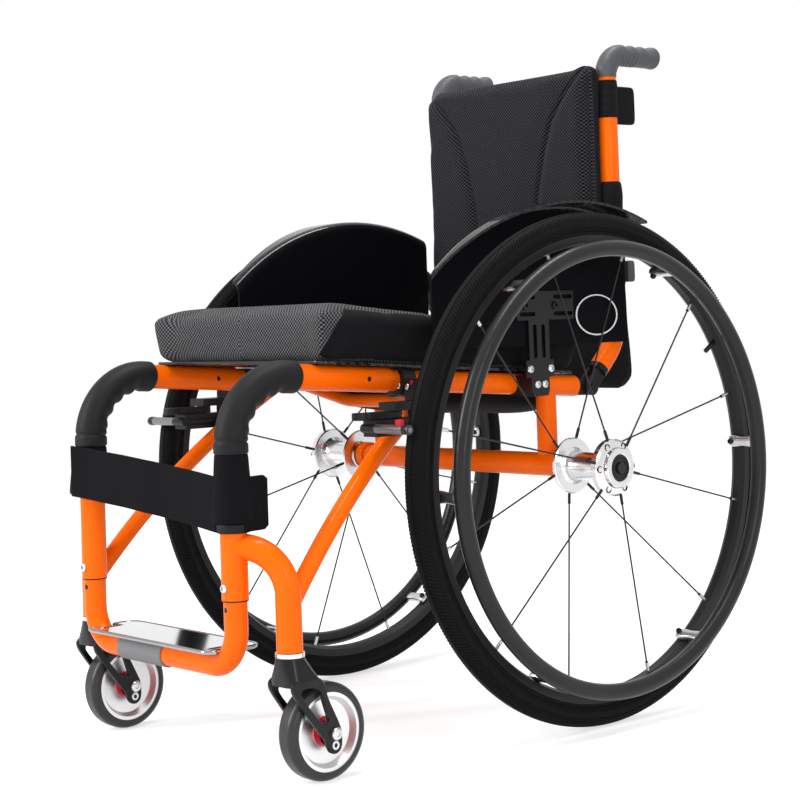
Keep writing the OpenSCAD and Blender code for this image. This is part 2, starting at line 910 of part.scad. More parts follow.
// footrest U-tube that slides in the front legs
foot_up = 70;
foot_travel = 26;
module foot_half() {
  translate([leg_x, 0, foot_z + foot_r]) cylinder(h = leg_z + foot_up - foot_z - foot_r, d = slim_d);
  translate([leg_x - foot_r, 0, foot_z + foot_r]) rotate([90, 0, 0]) rotate([0, 0, -90])
    arc(foot_r, slim_d, 90);
  translate([0, 0, foot_z]) rotate([0, 90, 0]) cylinder(h = leg_x - foot_r, d = slim_d);
}

module footrest_tube() {
  color(orange) from_axle() translate([0, -leg_y, 0]) union() {
    foot_half();
    right() foot_half();
  }
}

// sleeve on the footrest bar and the plate that rests on it, notched round the tube's bends
sleeve_l = 86;
sleeve_x = -30;
sleeve_d = slim_d + 3;
step_z = foot_z + sleeve_d / 2;
step_in = 15;
step_half = leg_x - step_in;
step_back = 42;
step_r = 16;
notch_y = slim_d / 2 + trim_t + gap;
// where the bend of the tube comes up through the plate
bend_in = sqrt(pow(foot_r - slim_d / 2, 2) - pow(foot_r - sleeve_d / 2, 2));
notch_x = leg_x - foot_r + bend_in - trim_t - gap;
module footrest_sleeve() {
  color(grey) from_axle() translate([sleeve_x, -leg_y, foot_z]) rotate([0, 90, 0]) difference() {
    cylinder(h = sleeve_l, d = sleeve_d, center = true);
    cylinder(h = sleeve_l + 2, d = slim_d + seam, center = true);
  }
}

module step_outline(e) {
  difference() {
    translate([0, (step_back - step_front) / 2])
      slab2(2 * step_half + 2 * e, step_back + step_front + 2 * e, step_r + e);
    for (s = [-1, 1])
      translate([s * (notch_x + step_half + e), 0])
        square([2 * step_half, 2 * (notch_y - e)], center = true);
  }
}

module footplate() {
  color(black) from_axle() translate([0, -leg_y, step_z]) linear_extrude(plate_h) step_outline(0);
}

module footplate_trim() {
  color(steel) from_axle() translate([0, -leg_y, step_z]) linear_extrude(plate_h + 1) difference() {
    step_outline(trim_t);
    step_outline(0);
  }
}

// rear wheel pieces, drawn about the axle line of the left wheel
module wheel_place() {
  translate([half_track, 0, wheel_r]) rotate([0, 90, 0]) children();
}

rim_top = wheel_r - tyre_h;
rim_low = rim_top - rim_h;
module tyre() {
  wheel_place() rotate_extrude($fn = 180) union() {
    translate([wheel_r - tyre_w / 2, 0]) circle(d = tyre_w);
    translate([rim_top, -rim_w / 2 + 1]) square([tyre_h - tyre_w / 2, rim_w - 2]);
  }
}

valve_turn = 122;
valve_l = 17;
valve_d = 6;
module rim() {
  wheel_place() rotate_extrude($fn = 180) polygon([
    [rim_low, -rim_w / 4], [rim_low + 3, -rim_w / 2], [rim_top, -rim_w / 2],
    [rim_top, rim_w / 2], [rim_low + 3, rim_w / 2], [rim_low, rim_w / 4]]);
  wheel_place() rotate([0, 0, valve_turn]) translate([rim_low - valve_l, 0, 0]) rotate([0, 90, 0])
    cylinder(h = valve_l + 1, d = valve_d);
}

flange_t = 5;
boss_d = 52;
boss_l = 8;
cap_d = 13;
hub_end = hub_out + boss_l;
module hub() {
  wheel_place() difference() {
    union() {
      translate([0, 0, -hub_in - 2]) cylinder(h = hub_in + 2 + hub_out, d = hub_d);
      translate([0, 0, -hub_in]) cylinder(h = flange_t, d = flange_d);
      translate([0, 0, hub_out - flange_t]) cylinder(h = flange_t, d = flange_d);
      translate([0, 0, hub_out - 1]) cylinder(h = boss_l + 1, d = boss_d);
    }
    translate([0, 0, -hub_in - 3]) cylinder(h = 2 * hub_in + 3, d = axle_d + 2 * fit);
    translate([0, 0, hub_out - 4]) cylinder(h = boss_l + 5, d = cap_d + 2 * fit);
    translate([0, 0, hub_end - 3]) cylinder(h = 4, d = boss_d - 10);
    for (i = [0:5])
      rotate([0, 0, 60 * i + 15]) translate([flange_d / 2 - 6.5, 0, 0]) {
        translate([0, 0, -hub_in - 1]) cylinder(h = flange_t + 2, d = 7);
      }
  }
}

// radial spokes, every other one from the inner flange, thicker at the hub
spoke_turn = 16.5;
spoke_foot_d = 3.6;
spoke_foot_l = 12;
nipple_d = 4.2;
nipple_l = 12;
module spokes() {
  wheel_place()
    for (i = [0:spoke_n - 1])
      rotate([0, 0, 360 / spoke_n * i + spoke_turn]) {
        side = i % 2 == 0 ? hub_out - flange_t / 2 : -hub_in + flange_t / 2;
        a = [flange_d / 2 + 0.15, 0, side];
        b = [rim_low - 0.4, 0, side / 20];
        v = (b - a) / norm(b - a);
        bar(a, b, spoke_d);
        bar(a + 0.1 * v, a + spoke_foot_l * v, spoke_foot_d);
        bar(b - nipple_l * v, b - 0.2 * v, nipple_d);
      }
}

// hand rim ring with its tabs
tab_turn = 33;
tab_w = 15;
tab_t = 9;
tab_in = 6;
tab_r = sqrt(pow(rim_low, 2) - pow(tab_w / 2, 2));
module handrim() {
  wheel_place() union() {
    translate([0, 0, handrim_off]) rotate_extrude($fn = 180)
      translate([handrim_r, 0]) circle(d = handrim_tube_d);
    for (i = [0:tab_n - 1])
      rotate([0, 0, 360 / tab_n * i + tab_turn])
        translate([tab_r - tab_t, -tab_w / 2, -tab_in]) cube([tab_t, tab_w, handrim_off + tab_in - 6]);
  }
}

// button of the quick-release axle
button_travel = 5;
button_out = 1.5;
button_in = hub_out - 4 + button_travel + 1;
module button() {
  wheel_place() translate([0, 0, button_in]) cylinder(h = hub_end + button_out - button_in, d = cap_d);
}

module left_tyre() {
  color(black) from_axle() tyre();
}

module right_tyre() {
  color(black) from_axle() right() tyre();
}

module left_rim() {
  color(black) from_axle() rim();
}

module right_rim() {
  color(black) from_axle() right() rim();
}

module left_spokes() {
  color(black) from_axle() spokes();
}

module right_spokes() {
  color(black) from_axle() right() spokes();
}

module left_hub() {
  color(steel) from_axle() hub();
}

module right_hub() {
  color(steel) from_axle() right() hub();
}

module left_handrim() {
  color(black) from_axle() handrim();
}

module right_handrim() {
  color(black) from_axle() right() handrim();
}

module left_button() {
  color(black) from_axle() button();
}

module right_button() {
  color(black) from_axle() right() button();
}

// caster pieces, drawn about the caster axle
ring_d = tube_d + 2;
caster_bolt_d = 8;
fork_gap = 3;
fork_t = 6;
crown_h = 15;
crown_z = housing_z - 5 - crown_h;
module caster_place() {
  translate([caster_x, caster_trail - caster_y, caster_r]) children();
}

fork_in = caster_w / 2 + fork_gap;
fork_hole_d = 7;
fork_hole_low = 12;
boss_r = 9.5;
leg_top = crown_z + crown_h - caster_r;
fork_front = caster_trail + 28;
fork_back = caster_trail - 24;
yoke_low = leg_top - 32;
yoke_h = 8;
module fork_side() {
  difference() {
    union() {
      circle(r = boss_r);
      translate([0, -fork_hole_low]) circle(r = boss_r);
      translate([-boss_r, -fork_hole_low]) square([2 * boss_r, fork_hole_low]);
      polygon([[-boss_r, -fork_hole_low], [boss_r, 0],
               [-fork_back, yoke_low + yoke_h - 2], [-fork_front, yoke_low + yoke_h - 2]]);
    }
    polygon([[-fork_front + 14, yoke_low - 4], [-fork_back - 4, yoke_low - 4], [-12, 13]]);
    circle(d = caster_bolt_d);
    translate([0, -fork_hole_low]) circle(d = fork_hole_d);
  }
}

// yoke between the fork's sides, narrower towards the stem
module fork_yoke() {
  intersection() {
    translate([-2 * fork_in, 0, 0]) side_view() linear_extrude(4 * fork_in)
      polygon([[-fork_front, yoke_low], [-fork_back, yoke_low], [-fork_back, yoke_low + yoke_h],
               [-caster_trail + ring_d / 2, leg_top], [-caster_trail - ring_d / 2, leg_top],
               [-fork_front, yoke_low + yoke_h]]);
    translate([0, 2 * caster_trail, 0]) rotate([90, 0, 0]) linear_extrude(6 * caster_trail)
      polygon([[-fork_in - fork_t, yoke_low], [fork_in + fork_t, yoke_low],
               [fork_in + fork_t, yoke_low + yoke_h], [ring_d / 2, leg_top],
               [-ring_d / 2, leg_top], [-fork_in - fork_t, yoke_low + yoke_h]]);
  }
}

module caster_fork() {
  caster_place() difference() {
    union() {
      for (s = [-1, 1])
        translate([s * (fork_in + fork_t / 2) - fork_t / 2, 0, 0]) side_view()
          linear_extrude(fork_t) fork_side();
      fork_yoke();
    }
    translate([0, -caster_trail, 0]) cylinder(h = leg_top + 1, d = stem_d + seam);
    rotate([0, 90, 0]) cylinder(h = 2 * fork_in, r = caster_r + gap + 2, center = true);
  }
}

// stem with its bearing ring, axle bolt and the two red spacers
spacer_d = 18;
module caster_pins() {
  translate([caster_x, -caster_y, crown_z]) union() {
    cylinder(h = housing_z - crown_z + stem_l, d = stem_d);
    translate([0, 0, crown_h]) cylinder(h = 5 - gap, d = ring_d);
  }
  caster_place() rotate([0, 90, 0]) {
    cylinder(h = 2 * (fork_in + fork_t), d = caster_bolt_d, center = true);
    for (s = [-1, 1])
      translate([0, 0, s * (fork_in + fork_t + 1.5)]) cylinder(h = 3, d = 13, center = true);
  }
  caster_place() rotate([0, 90, 0])
    for (s = [-1, 1])
      translate([0, 0, s * (fork_in - 1.3)]) difference() {
        cylinder(h = 2.6, d = spacer_d, center = true);
        cylinder(h = 4, d = caster_bolt_d + 2 * fit, center = true);
      }
}

caster_rim_r = caster_r - 10;
tread_r = 8;
module caster_tyre() {
  caster_place() rotate([0, 90, 0]) rotate_extrude() difference() {
    union() {
      translate([caster_rim_r, tread_r - caster_w / 2])
        square([caster_r - caster_rim_r, caster_w - 2 * tread_r]);
      translate([caster_rim_r, -caster_w / 2]) square([caster_r - caster_rim_r - tread_r, caster_w]);
      for (s = [-1, 1])
        translate([caster_r - tread_r, s * (caster_w / 2 - tread_r)]) circle(r = tread_r);
    }
    translate([0, -caster_w]) square([caster_rim_r, 2 * caster_w]);
  }
}

dish = 8;
module caster_rim() {
  caster_place() rotate([0, 90, 0]) rotate_extrude() polygon([
    [caster_bolt_d / 2 + fit, -caster_w / 2], [14, -caster_w / 2], [16, -caster_w / 2 + dish],
    [caster_rim_r - 8, -caster_w / 2 + dish], [caster_rim_r - 4, -caster_w / 2 + 1],
    [caster_rim_r, -caster_w / 2 + 1], [caster_rim_r, caster_w / 2 - 1],
    [caster_rim_r - 4, caster_w / 2 - 1], [caster_rim_r - 8, caster_w / 2 - dish],
    [16, caster_w / 2 - dish], [14, caster_w / 2], [caster_bolt_d / 2 + fit, caster_w / 2]]);
}

module left_caster_fork() {
  color(black) from_axle() caster_fork();
}

module right_caster_fork() {
  color(black) from_axle() right() caster_fork();
}

module left_caster_pins() {
  color(steel) from_axle() caster_pins();
}

module right_caster_pins() {
  color(steel) from_axle() right() caster_pins();
}

module left_caster_tyre() {
  color(grey) from_axle() caster_tyre();
}

module right_caster_tyre() {
  color(grey) from_axle() right() caster_tyre();
}

module left_caster_rim() {
  color(steel) from_axle() caster_rim();
}

module right_caster_rim() {
  color(steel) from_axle() right() caster_rim();
}

left_frame_tube();
right_frame_tube();
left_seat_tube();
right_seat_tube();
left_caster_leg();
right_caster_leg();
left_brace();
right_brace();
left_axle_upright();
right_axle_upright();
axle_tube();
cross_tube();
left_bend_grip();
right_bend_grip();
seat_plate();
seat_cushion();
seat_pouch();
calf_strap();
left_side_guard();
right_side_guard();
left_guard_bracket();
right_guard_bracket();
left_brake_clamp();
right_brake_clamp();
frame_bolts();
wheel_axles();
left_brake_lever();
right_brake_lever();
left_brake_shoe();
right_brake_shoe();
left_cane();
right_cane();
left_push_grip();
right_push_grip();
back_upholstery();
back_sling();
footrest_tube();
footrest_sleeve();
footplate();
footplate_trim();
left_tyre();
right_tyre();
left_rim();
right_rim();
left_spokes();
right_spokes();
left_hub();
right_hub();
left_handrim();
right_handrim();
left_button();
right_button();
left_caster_fork();
right_caster_fork();
left_caster_pins();
right_caster_pins();
left_caster_tyre();
right_caster_tyre();
left_caster_rim();
right_caster_rim();
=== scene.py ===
import math

import bpy
import numpy as np
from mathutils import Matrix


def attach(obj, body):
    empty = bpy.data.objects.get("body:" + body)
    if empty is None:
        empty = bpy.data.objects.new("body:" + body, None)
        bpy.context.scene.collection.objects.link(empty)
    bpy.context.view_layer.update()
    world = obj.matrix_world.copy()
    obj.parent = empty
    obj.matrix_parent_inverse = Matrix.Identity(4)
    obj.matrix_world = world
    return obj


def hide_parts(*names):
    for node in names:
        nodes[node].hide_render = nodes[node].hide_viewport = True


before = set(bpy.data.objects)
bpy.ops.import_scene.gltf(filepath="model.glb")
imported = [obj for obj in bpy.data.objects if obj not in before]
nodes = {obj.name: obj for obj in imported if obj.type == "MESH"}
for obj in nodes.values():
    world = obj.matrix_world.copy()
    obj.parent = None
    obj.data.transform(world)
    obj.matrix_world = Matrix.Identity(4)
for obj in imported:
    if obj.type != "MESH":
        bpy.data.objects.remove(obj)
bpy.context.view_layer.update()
scene = bpy.context.scene
print("frame loaded,", len(nodes), "nodes")

# lengths below are mm: X and Y from the rear axle's middle, Z from the floor
axleY = 92.75
sides = {"left": 1.0, "right": -1.0}


def toRow(points):
    # mm from the rear axle turned into metres in the row frame
    return (np.asarray(points, float) + (0.0, axleY, 0.0)) / 1000.0


def unit(v):
    return v / np.linalg.norm(v, axis=-1, keepdims=True)


def smooth(t):
    # 0 below 0, 1 above 1, an S curve between
    t = np.clip(t, 0.0, 1.0)
    return t * t * (3.0 - 2.0 * t)


def past(value, start):
    # an S curve from 0 to 1 that begins at the first number and is as long as the second
    return smooth((value - start[0]) / start[1])


def hump(t, middle, width):
    # bell curve of height 1
    return np.exp(-((t - middle) / width) ** 2)


def power(t, p):
    # signed power, which squares off a circle's sine or cosine
    return np.sign(t) * np.abs(t) ** p


def roundSteps(count):
    # angles at even steps once round
    return np.linspace(0, 2 * np.pi, count, endpoint=False)


def acrossPair(axis):
    # two unit vectors square to an axis and to each other
    first = unit(np.cross(axis, (0.31, 0.57, 0.76)))
    return first, np.cross(axis, first)


def addMesh(name, points, quads, tris, material, body, crease=None):
    # faces over points in mm, all turned round together when they enclose a negative volume
    place = toRow(points)
    quads = np.asarray(quads, int).reshape(-1, 4)
    tris = np.asarray(tris, int).reshape(-1, 3)
    flat = np.concatenate([quads[:, :3], quads[:, [0, 2, 3]], tris])
    a, b, c = (place[flat[:, k]] - place.mean(0) for k in range(3))
    if np.einsum("ij,ij->i", a, np.cross(b, c)).sum() < 0:
        quads, tris = quads[:, ::-1], tris[:, ::-1]
    mesh = bpy.data.meshes.new(name)
    mesh.from_pydata(place.tolist(), [], quads.tolist() + tris.tolist())
    mesh.polygons.foreach_set("use_smooth", np.ones(len(mesh.polygons), bool))
    mesh.materials.append(material)
    mesh.update()
    if crease:
        mesh.set_sharp_from_angle(angle=math.radians(crease))
    obj = bpy.data.objects.new(name, mesh)
    scene.collection.objects.link(obj)
    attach(obj, body)
    return obj


def surface(name, grid, material, body, wrapU=False, wrapV=False, capU=False, capV=False,
            crease=None):
    # grids (copies, u, v, 3) joined by quads; a wrapped way closes on itself, a capped end gets a fan
    grid = np.asarray(grid, float)
    grid = grid[None] if grid.ndim == 3 else grid
    copies, nu, nv = grid.shape[:3]
    a, b = np.meshgrid(np.arange(nu if wrapU else nu - 1), np.arange(nv if wrapV else nv - 1), indexing="ij")
    a, b = a.ravel(), b.ravel()
    c, d = (a + 1) % nu, (b + 1) % nv
    one = np.stack([a * nv + b, c * nv + b, c * nv + d, a * nv + d], 1)
    rims = []
    if capU:
        rims += [np.arange(nv), (nu - 1) * nv + np.arange(nv)[::-1]]
    if capV:
        rims += [np.arange(nu)[::-1] * nv, np.arange(nu) * nv + nv - 1]
    flat = grid.reshape(copies, nu * nv, 3)
    points, fans = [flat], []
    for k, rim in enumerate(rims):
        points.append(flat[:, rim].mean(1, keepdims=True))
        fans.append(np.stack([rim, np.roll(rim, -1), np.full(len(rim), nu * nv + k)], 1))
    points = np.concatenate(points, 1)
    step = (np.arange(copies) * points.shape[1])[:, None, None]
    quads = (one[None] + step).reshape(-1, 4)
    tris = (np.concatenate(fans)[None] + step).reshape(-1, 3) if fans else []
    return addMesh(name, points.reshape(-1, 3), quads, tris, material, body, crease)


def lathe(profile, steps, centre, axis):
    # (radius, height) pairs turned about an axis: the radius goes round it, the height along it
    axis = unit(np.asarray(axis, float))
    first, second = acrossPair(axis)
    turn = roundSteps(steps)[:, None, None]
    profile = np.asarray(profile, float)
    out = np.cos(turn) * first + np.sin(turn) * second
    return np.asarray(centre, float) + profile[None, :, :1] * out + profile[None, :, 1:] * axis


def tubeAlong(path, normal, radius, steps, closed=False):
    # a circle carried along a flat path; its angle starts at the plane's normal and turns to the path's side
    if closed:
        along = unit(np.roll(path, -1, 0) - np.roll(path, 1, 0))
    else:
        along = unit(np.gradient(path, axis=0))
    side = np.cross(along, normal)
    turn = roundSteps(steps)[None, :, None]
    radius = np.broadcast_to(radius, (len(path), steps))[..., None]
    return path[:, None] + radius * (np.cos(turn) * np.asarray(normal, float) + np.sin(turn) * side[:, None])


def evenly(way, count, closed=False):
    # points at equal steps along a broken line, and the way along it to each
    way = np.asarray(way, float)
    if closed:
        way = np.concatenate([way, way[:1]])
    far = np.concatenate([[0.0], np.cumsum(np.linalg.norm(np.diff(way, axis=0), axis=1))])
    at = np.linspace(0, far[-1], count, endpoint=not closed)
    return np.stack([np.interp(at, far, way[:, k]) for k in range(way.shape[1])], 1), at


def slabGrid(low, high, endPower, ringPower, nu=24, nv=40):
    # a squared-off ellipsoid between two corners: rings of a superellipse in Y and Z, closed along X
    low, high = np.asarray(low, float), np.asarray(high, float)
    mid, half = (low + high) / 2, (high - low) / 2
    u = np.linspace(-np.pi / 2, np.pi / 2, nu)[:, None]
    v = roundSteps(nv)[None]
    ring = power(np.cos(u), endPower) * 0.998 + 0.002
    x = half[0] * power(np.sin(u), endPower) + 0 * v
    y, z = half[1] * ring * power(np.cos(v), ringPower), half[2] * ring * power(np.sin(v), ringPower)
    return mid + np.stack([x, y, z], -1)


def mirrored(grid, sign):
    # the same points on the other side of the chair
    return np.asarray(grid) * (sign, 1.0, 1.0)


# shader helpers
def feed(tree, socket, value):
    # another socket is linked, a constant is set
    if isinstance(value, bpy.types.NodeSocket):
        tree.links.new(value, socket)
    else:
        socket.default_value = value


def addNode(tree, kind, values=None, **settings):
    made = tree.nodes.new(kind)
    for key, value in settings.items():
        setattr(made, key, value)
    for key, value in (values or {}).items():
        feed(tree, made.inputs[key], value)
    return made


def calc(tree, operation, *values):
    return addNode(tree, "ShaderNodeMath", dict(enumerate(values)), operation=operation).outputs[0]


def band(tree, value, low, high, toLow=0.0, toHigh=1.0):
    # value from low..high laid out over toLow..toHigh along an S curve
    made = addNode(tree, "ShaderNodeMapRange", {0: value, 1: low, 2: high, 3: toLow, 4: toHigh})
    made.interpolation_type = "SMOOTHSTEP"
    return made.outputs[0]


def span(tree, a, b):
    # length of the way (a, b)
    return calc(tree, "SQRT", calc(tree, "ADD", calc(tree, "MULTIPLY", a, a), calc(tree, "MULTIPLY", b, b)))


def objectPlace(tree):
    # object coordinates in metres: X from the middle, Y from the rear axle, Z from the floor
    place = addNode(tree, "ShaderNodeTexCoord").outputs["Object"]
    p = addNode(tree, "ShaderNodeSeparateXYZ", {0: place}).outputs
    return p[0], calc(tree, "SUBTRACT", p[1], axleY / 1000), p[2]


def awayFrom(tree, centre):
    # distance from a line along X through (y, z), in metres
    place = objectPlace(tree)[1:]
    return span(tree, *(calc(tree, "SUBTRACT", at, mid / 1000) for at, mid in zip(place, centre)))


def newGroup(name, inputs, outputs):
    tree = bpy.data.node_groups.new(name, "ShaderNodeTree")
    for label, value in inputs.items():
        made = tree.interface.new_socket(label, in_out="INPUT", socket_type="NodeSocketFloat")
        made.default_value = value
    for label in outputs:
        tree.interface.new_socket(label, in_out="OUTPUT", socket_type="NodeSocketFloat")
    return tree, tree.nodes.new("NodeGroupInput").outputs, tree.nodes.new("NodeGroupOutput").inputs


def noise(tree, place, scale, detail):
    values = {"Vector": place, "Scale": scale, "Detail": detail}
    return addNode(tree, "ShaderNodeTexNoise", values).outputs[0]


def grainGroup():
    # fine noise for the height, broad noise for the roughness and for the tone
    inputs = {"Scale": 400.0, "Low": 0.3, "High": 0.5}
    tree, given, result = newGroup("grain", inputs, ["Roughness", "Height", "Tone"])
    place = addNode(tree, "ShaderNodeTexCoord").outputs["Object"]
    fine = noise(tree, place, given["Scale"], 3.0)
    broad = noise(tree, place, 14.0, 5.0)
    spread = calc(tree, "SUBTRACT", given["High"], given["Low"])
    mixed = calc(tree, "ADD", calc(tree, "MULTIPLY", broad, 0.7), calc(tree, "MULTIPLY", fine, 0.3))
    tree.links.new(calc(tree, "MULTIPLY_ADD", mixed, spread, given["Low"]), result["Roughness"])
    tree.links.new(fine, result["Height"])
    tree.links.new(broad, result["Tone"])
    return tree


def flatPlace(tree):
    # the two object coordinates along the surface, picked by its largest normal, and 1 where it looks up
    coords = addNode(tree, "ShaderNodeTexCoord")
    p = addNode(tree, "ShaderNodeSeparateXYZ", {0: coords.outputs["Object"]}).outputs
    n = addNode(tree, "ShaderNodeSeparateXYZ", {0: coords.outputs["Normal"]}).outputs
    ax, ay, az = (calc(tree, "ABSOLUTE", n[k]) for k in range(3))
    up = calc(tree, "GREATER_THAN", az, calc(tree, "MAXIMUM", ax, ay))
    sideways = calc(tree, "MULTIPLY", calc(tree, "GREATER_THAN", ax, ay), calc(tree, "SUBTRACT", 1.0, up))
    u = calc(tree, "MULTIPLY_ADD", sideways, calc(tree, "SUBTRACT", p[1], p[0]), p[0])
    v = calc(tree, "MULTIPLY_ADD", up, calc(tree, "SUBTRACT", p[1], p[2]), p[2])
    return u, v, up


def spacerGroup():
    # knitted spacer mesh: cos(u)cos(v) gives a lattice of yarn knots and holes; with Round at 1 it runs on
    # round the front corners, where u is the way across plus the way behind the front face
    inputs = {"Pitch": 0.004, "Round": 0.0, "Front": 0.0}
    tree, given, result = newGroup("spacerMesh", inputs, ["Yarn", "Height"])
    u, v, up = flatPlace(tree)
    x, y, _ = objectPlace(tree)
    behind = calc(tree, "MAXIMUM", calc(tree, "SUBTRACT", y, given["Front"]), 0.0)
    corner = calc(tree, "MULTIPLY_ADD", calc(tree, "SIGN", x), behind, x)
    share = calc(tree, "MULTIPLY", given["Round"], calc(tree, "SUBTRACT", 1.0, up))
    u = calc(tree, "MULTIPLY_ADD", share, calc(tree, "SUBTRACT", corner, u), u)
    turns = calc(tree, "DIVIDE", 2 * math.pi, given["Pitch"])
    wave = calc(tree, "MULTIPLY", calc(tree, "COSINE", calc(tree, "MULTIPLY", u, turns)),
                calc(tree, "COSINE", calc(tree, "MULTIPLY", v, turns)))
    tree.links.new(band(tree, wave, -0.35, 0.45), result["Yarn"])
    tree.links.new(calc(tree, "MULTIPLY_ADD", wave, 0.5, 0.5), result["Height"])
    return tree


def clothGroup():
    # plain weave: ribs one way over ribs the other way, in a check
    tree, given, result = newGroup("plainWeave", {"Pitch": 0.0012}, ["Thread", "Height"])
    u, v, _ = flatPlace(tree)
    turns = calc(tree, "DIVIDE", math.pi, given["Pitch"])
    su = calc(tree, "SINE", calc(tree, "MULTIPLY", u, turns))
    sv = calc(tree, "SINE", calc(tree, "MULTIPLY", v, turns))
    over = calc(tree, "GREATER_THAN", calc(tree, "MULTIPLY", su, sv), 0.0)
    high = calc(tree, "ADD", calc(tree, "MULTIPLY", over, calc(tree, "ABSOLUTE", su)),
                calc(tree, "MULTIPLY", calc(tree, "SUBTRACT", 1.0, over), calc(tree, "ABSOLUTE", sv)))
    tree.links.new(high, result["Height"])
    tree.links.new(over, result["Thread"])
    return tree


def twillGroup():
    # carbon twill: each tow passes over two and under two, one step on in each row
    tree, given, result = newGroup("carbonTwill", {"U": 0.0, "V": 0.0, "Tow": 0.003}, ["Over", "Height"])
    i = calc(tree, "DIVIDE", given["U"], given["Tow"])
    j = calc(tree, "DIVIDE", given["V"], given["Tow"])
    row = calc(tree, "DIVIDE", calc(tree, "ADD", calc(tree, "FLOOR", i), calc(tree, "FLOOR", j)), 4.0)
    over = calc(tree, "LESS_THAN", calc(tree, "FRACT", row), 0.5)
    wi = calc(tree, "ABSOLUTE", calc(tree, "SINE", calc(tree, "MULTIPLY", i, math.pi)))
    wj = calc(tree, "ABSOLUTE", calc(tree, "SINE", calc(tree, "MULTIPLY", j, math.pi)))
    high = calc(tree, "ADD", calc(tree, "MULTIPLY", over, wi),
                calc(tree, "MULTIPLY", calc(tree, "SUBTRACT", 1.0, over), wj))
    tree.links.new(over, result["Over"])
    tree.links.new(high, result["Height"])
    return tree


grain, spacer, cloth, twill = grainGroup(), spacerGroup(), clothGroup(), twillGroup()


def newMaterial(name, color, **sockets):
    # a principled material; constants go straight to its sockets
    labels = {"roughness": "Roughness", "metallic": "Metallic", "coat": "Coat Weight",
              "coatRough": "Coat Roughness", "sheen": "Sheen Weight", "specular": "Specular IOR Level"}
    made = bpy.data.materials.new(name)
    made.use_nodes = True
    tree = made.node_tree
    shader = tree.nodes["Principled BSDF"]
    shader.inputs["Base Color"].default_value = (*color, 1.0)
    for key, value in sockets.items():
        shader.inputs[labels[key]].default_value = value
    return made, tree, shader.inputs


def use(tree, group, **values):
    return addNode(tree, "ShaderNodeGroup", values, node_tree=group).outputs


def blendColor(tree, factor, first, second):
    # first where the factor is 0, second where it is 1
    made = addNode(tree, "ShaderNodeMix", {0: factor}, data_type="RGBA")
    for key, value in ((6, first), (7, second)):
        feed(tree, made.inputs[key], (*value, 1.0) if isinstance(value, tuple) else value)
    return made.outputs[2]


def setBump(tree, sockets, height, strength, distance):
    made = addNode(tree, "ShaderNodeBump", {"Height": height, "Strength": strength, "Distance": distance})
    tree.links.new(made.outputs[0], sockets["Normal"])


def plainFinish(name, dark, light, low, high, scale=500.0, bump=0.15, depth=0.0003, mask=None, other=None,
                metal=None, **sockets):
    # a surface whose tone, roughness and grain vary a little; a mask may turn a part of it to another
    # colour and to metal or away from it
    made, tree, inputs = newMaterial(name, light, **sockets)
    out = use(tree, grain, Scale=scale, Low=low, High=high)
    color = blendColor(tree, out["Tone"], dark, light)
    if mask:
        there = mask(tree)
        color = blendColor(tree, there, color, other)
        if metal is not None:
            tree.links.new(band(tree, there, 0.0, 1.0, *metal), inputs["Metallic"])
    tree.links.new(color, inputs["Base Color"])
    tree.links.new(out["Roughness"], inputs["Roughness"])
    if bump:
        setBump(tree, inputs, out["Height"], bump, depth)
    return made


def sideMask(half, ahead, lean=0.0, foot=0.0, tall=1.0):
    # 1 beyond half and behind a line, in mm, that leans back with the square of the height over its foot
    def build(tree):
        x, y, z = objectPlace(tree)
        out = band(tree, calc(tree, "ABSOLUTE", x), (half - 0.5) / 1000, (half + 0.5) / 1000)
        up = calc(tree, "DIVIDE", calc(tree, "SUBTRACT", z, foot / 1000), tall / 1000)
        up = calc(tree, "MAXIMUM", up, 0.0)
        y = calc(tree, "MULTIPLY_ADD", calc(tree, "MULTIPLY", up, up), -lean / 1000, y)
        return calc(tree, "MULTIPLY", out, band(tree, y, (ahead - 0.5) / 1000, (ahead + 0.5) / 1000))
    return build


def meshFinish(name, hole, yarn, pitch, bump, edge, edgeColor, **corners):
    # spacer mesh, and plain cloth where the edge mask is 1
    made, tree, inputs = newMaterial(name, yarn, roughness=0.8, sheen=0.04, specular=0.08)
    out = use(tree, spacer, Pitch=pitch, **corners)
    soft = use(tree, grain, Scale=900.0, Low=0.7, High=0.95)
    plain = edge(tree)
    knitted = blendColor(tree, out["Yarn"], hole, yarn)
    tree.links.new(blendColor(tree, plain, knitted, edgeColor), inputs["Base Color"])
    tree.links.new(soft["Roughness"], inputs["Roughness"])
    knit = calc(tree, "MULTIPLY", out["Height"], calc(tree, "SUBTRACT", 1.0, plain))
    setBump(tree, inputs, calc(tree, "MULTIPLY_ADD", soft["Height"], 0.15, knit), bump, 0.0012)
    return made


def clothFinish(name, under, over, pitch, bump, **sockets):
    made, tree, inputs = newMaterial(name, over, roughness=0.85, **sockets)
    out = use(tree, cloth, Pitch=pitch)
    soft = use(tree, grain, Scale=700.0, Low=0.75, High=0.98)
    tree.links.new(blendColor(tree, out["Thread"], under, over), inputs["Base Color"])
    tree.links.new(soft["Roughness"], inputs["Roughness"])
    setBump(tree, inputs, calc(tree, "MULTIPLY_ADD", soft["Height"], 0.6, out["Height"]), bump, 0.0006)
    return made


# where a finish or a painted shade changes on a CAD node, in metres: places, and pairs between which a mask
# goes from 0 to 1
marks = {"hinge": (0.076, 0.3867), "fitting": (0.0315, 0.0310), "tongue": (0.0550, 0.0555),
         "insert": (-0.2455, -0.2460), "hole": (0.1352, 0.1805), "holeEdge": (0.0032, 0.0028),
         "holeFront": (-0.457, -0.458), "caster": 0.187, "washer": (0.0159, 0.0155),
         "washerTop": (0.0810, 0.0800), "bar": (0.1902, 0.1904), "legRimShade": (0.1906, 0.1900)}


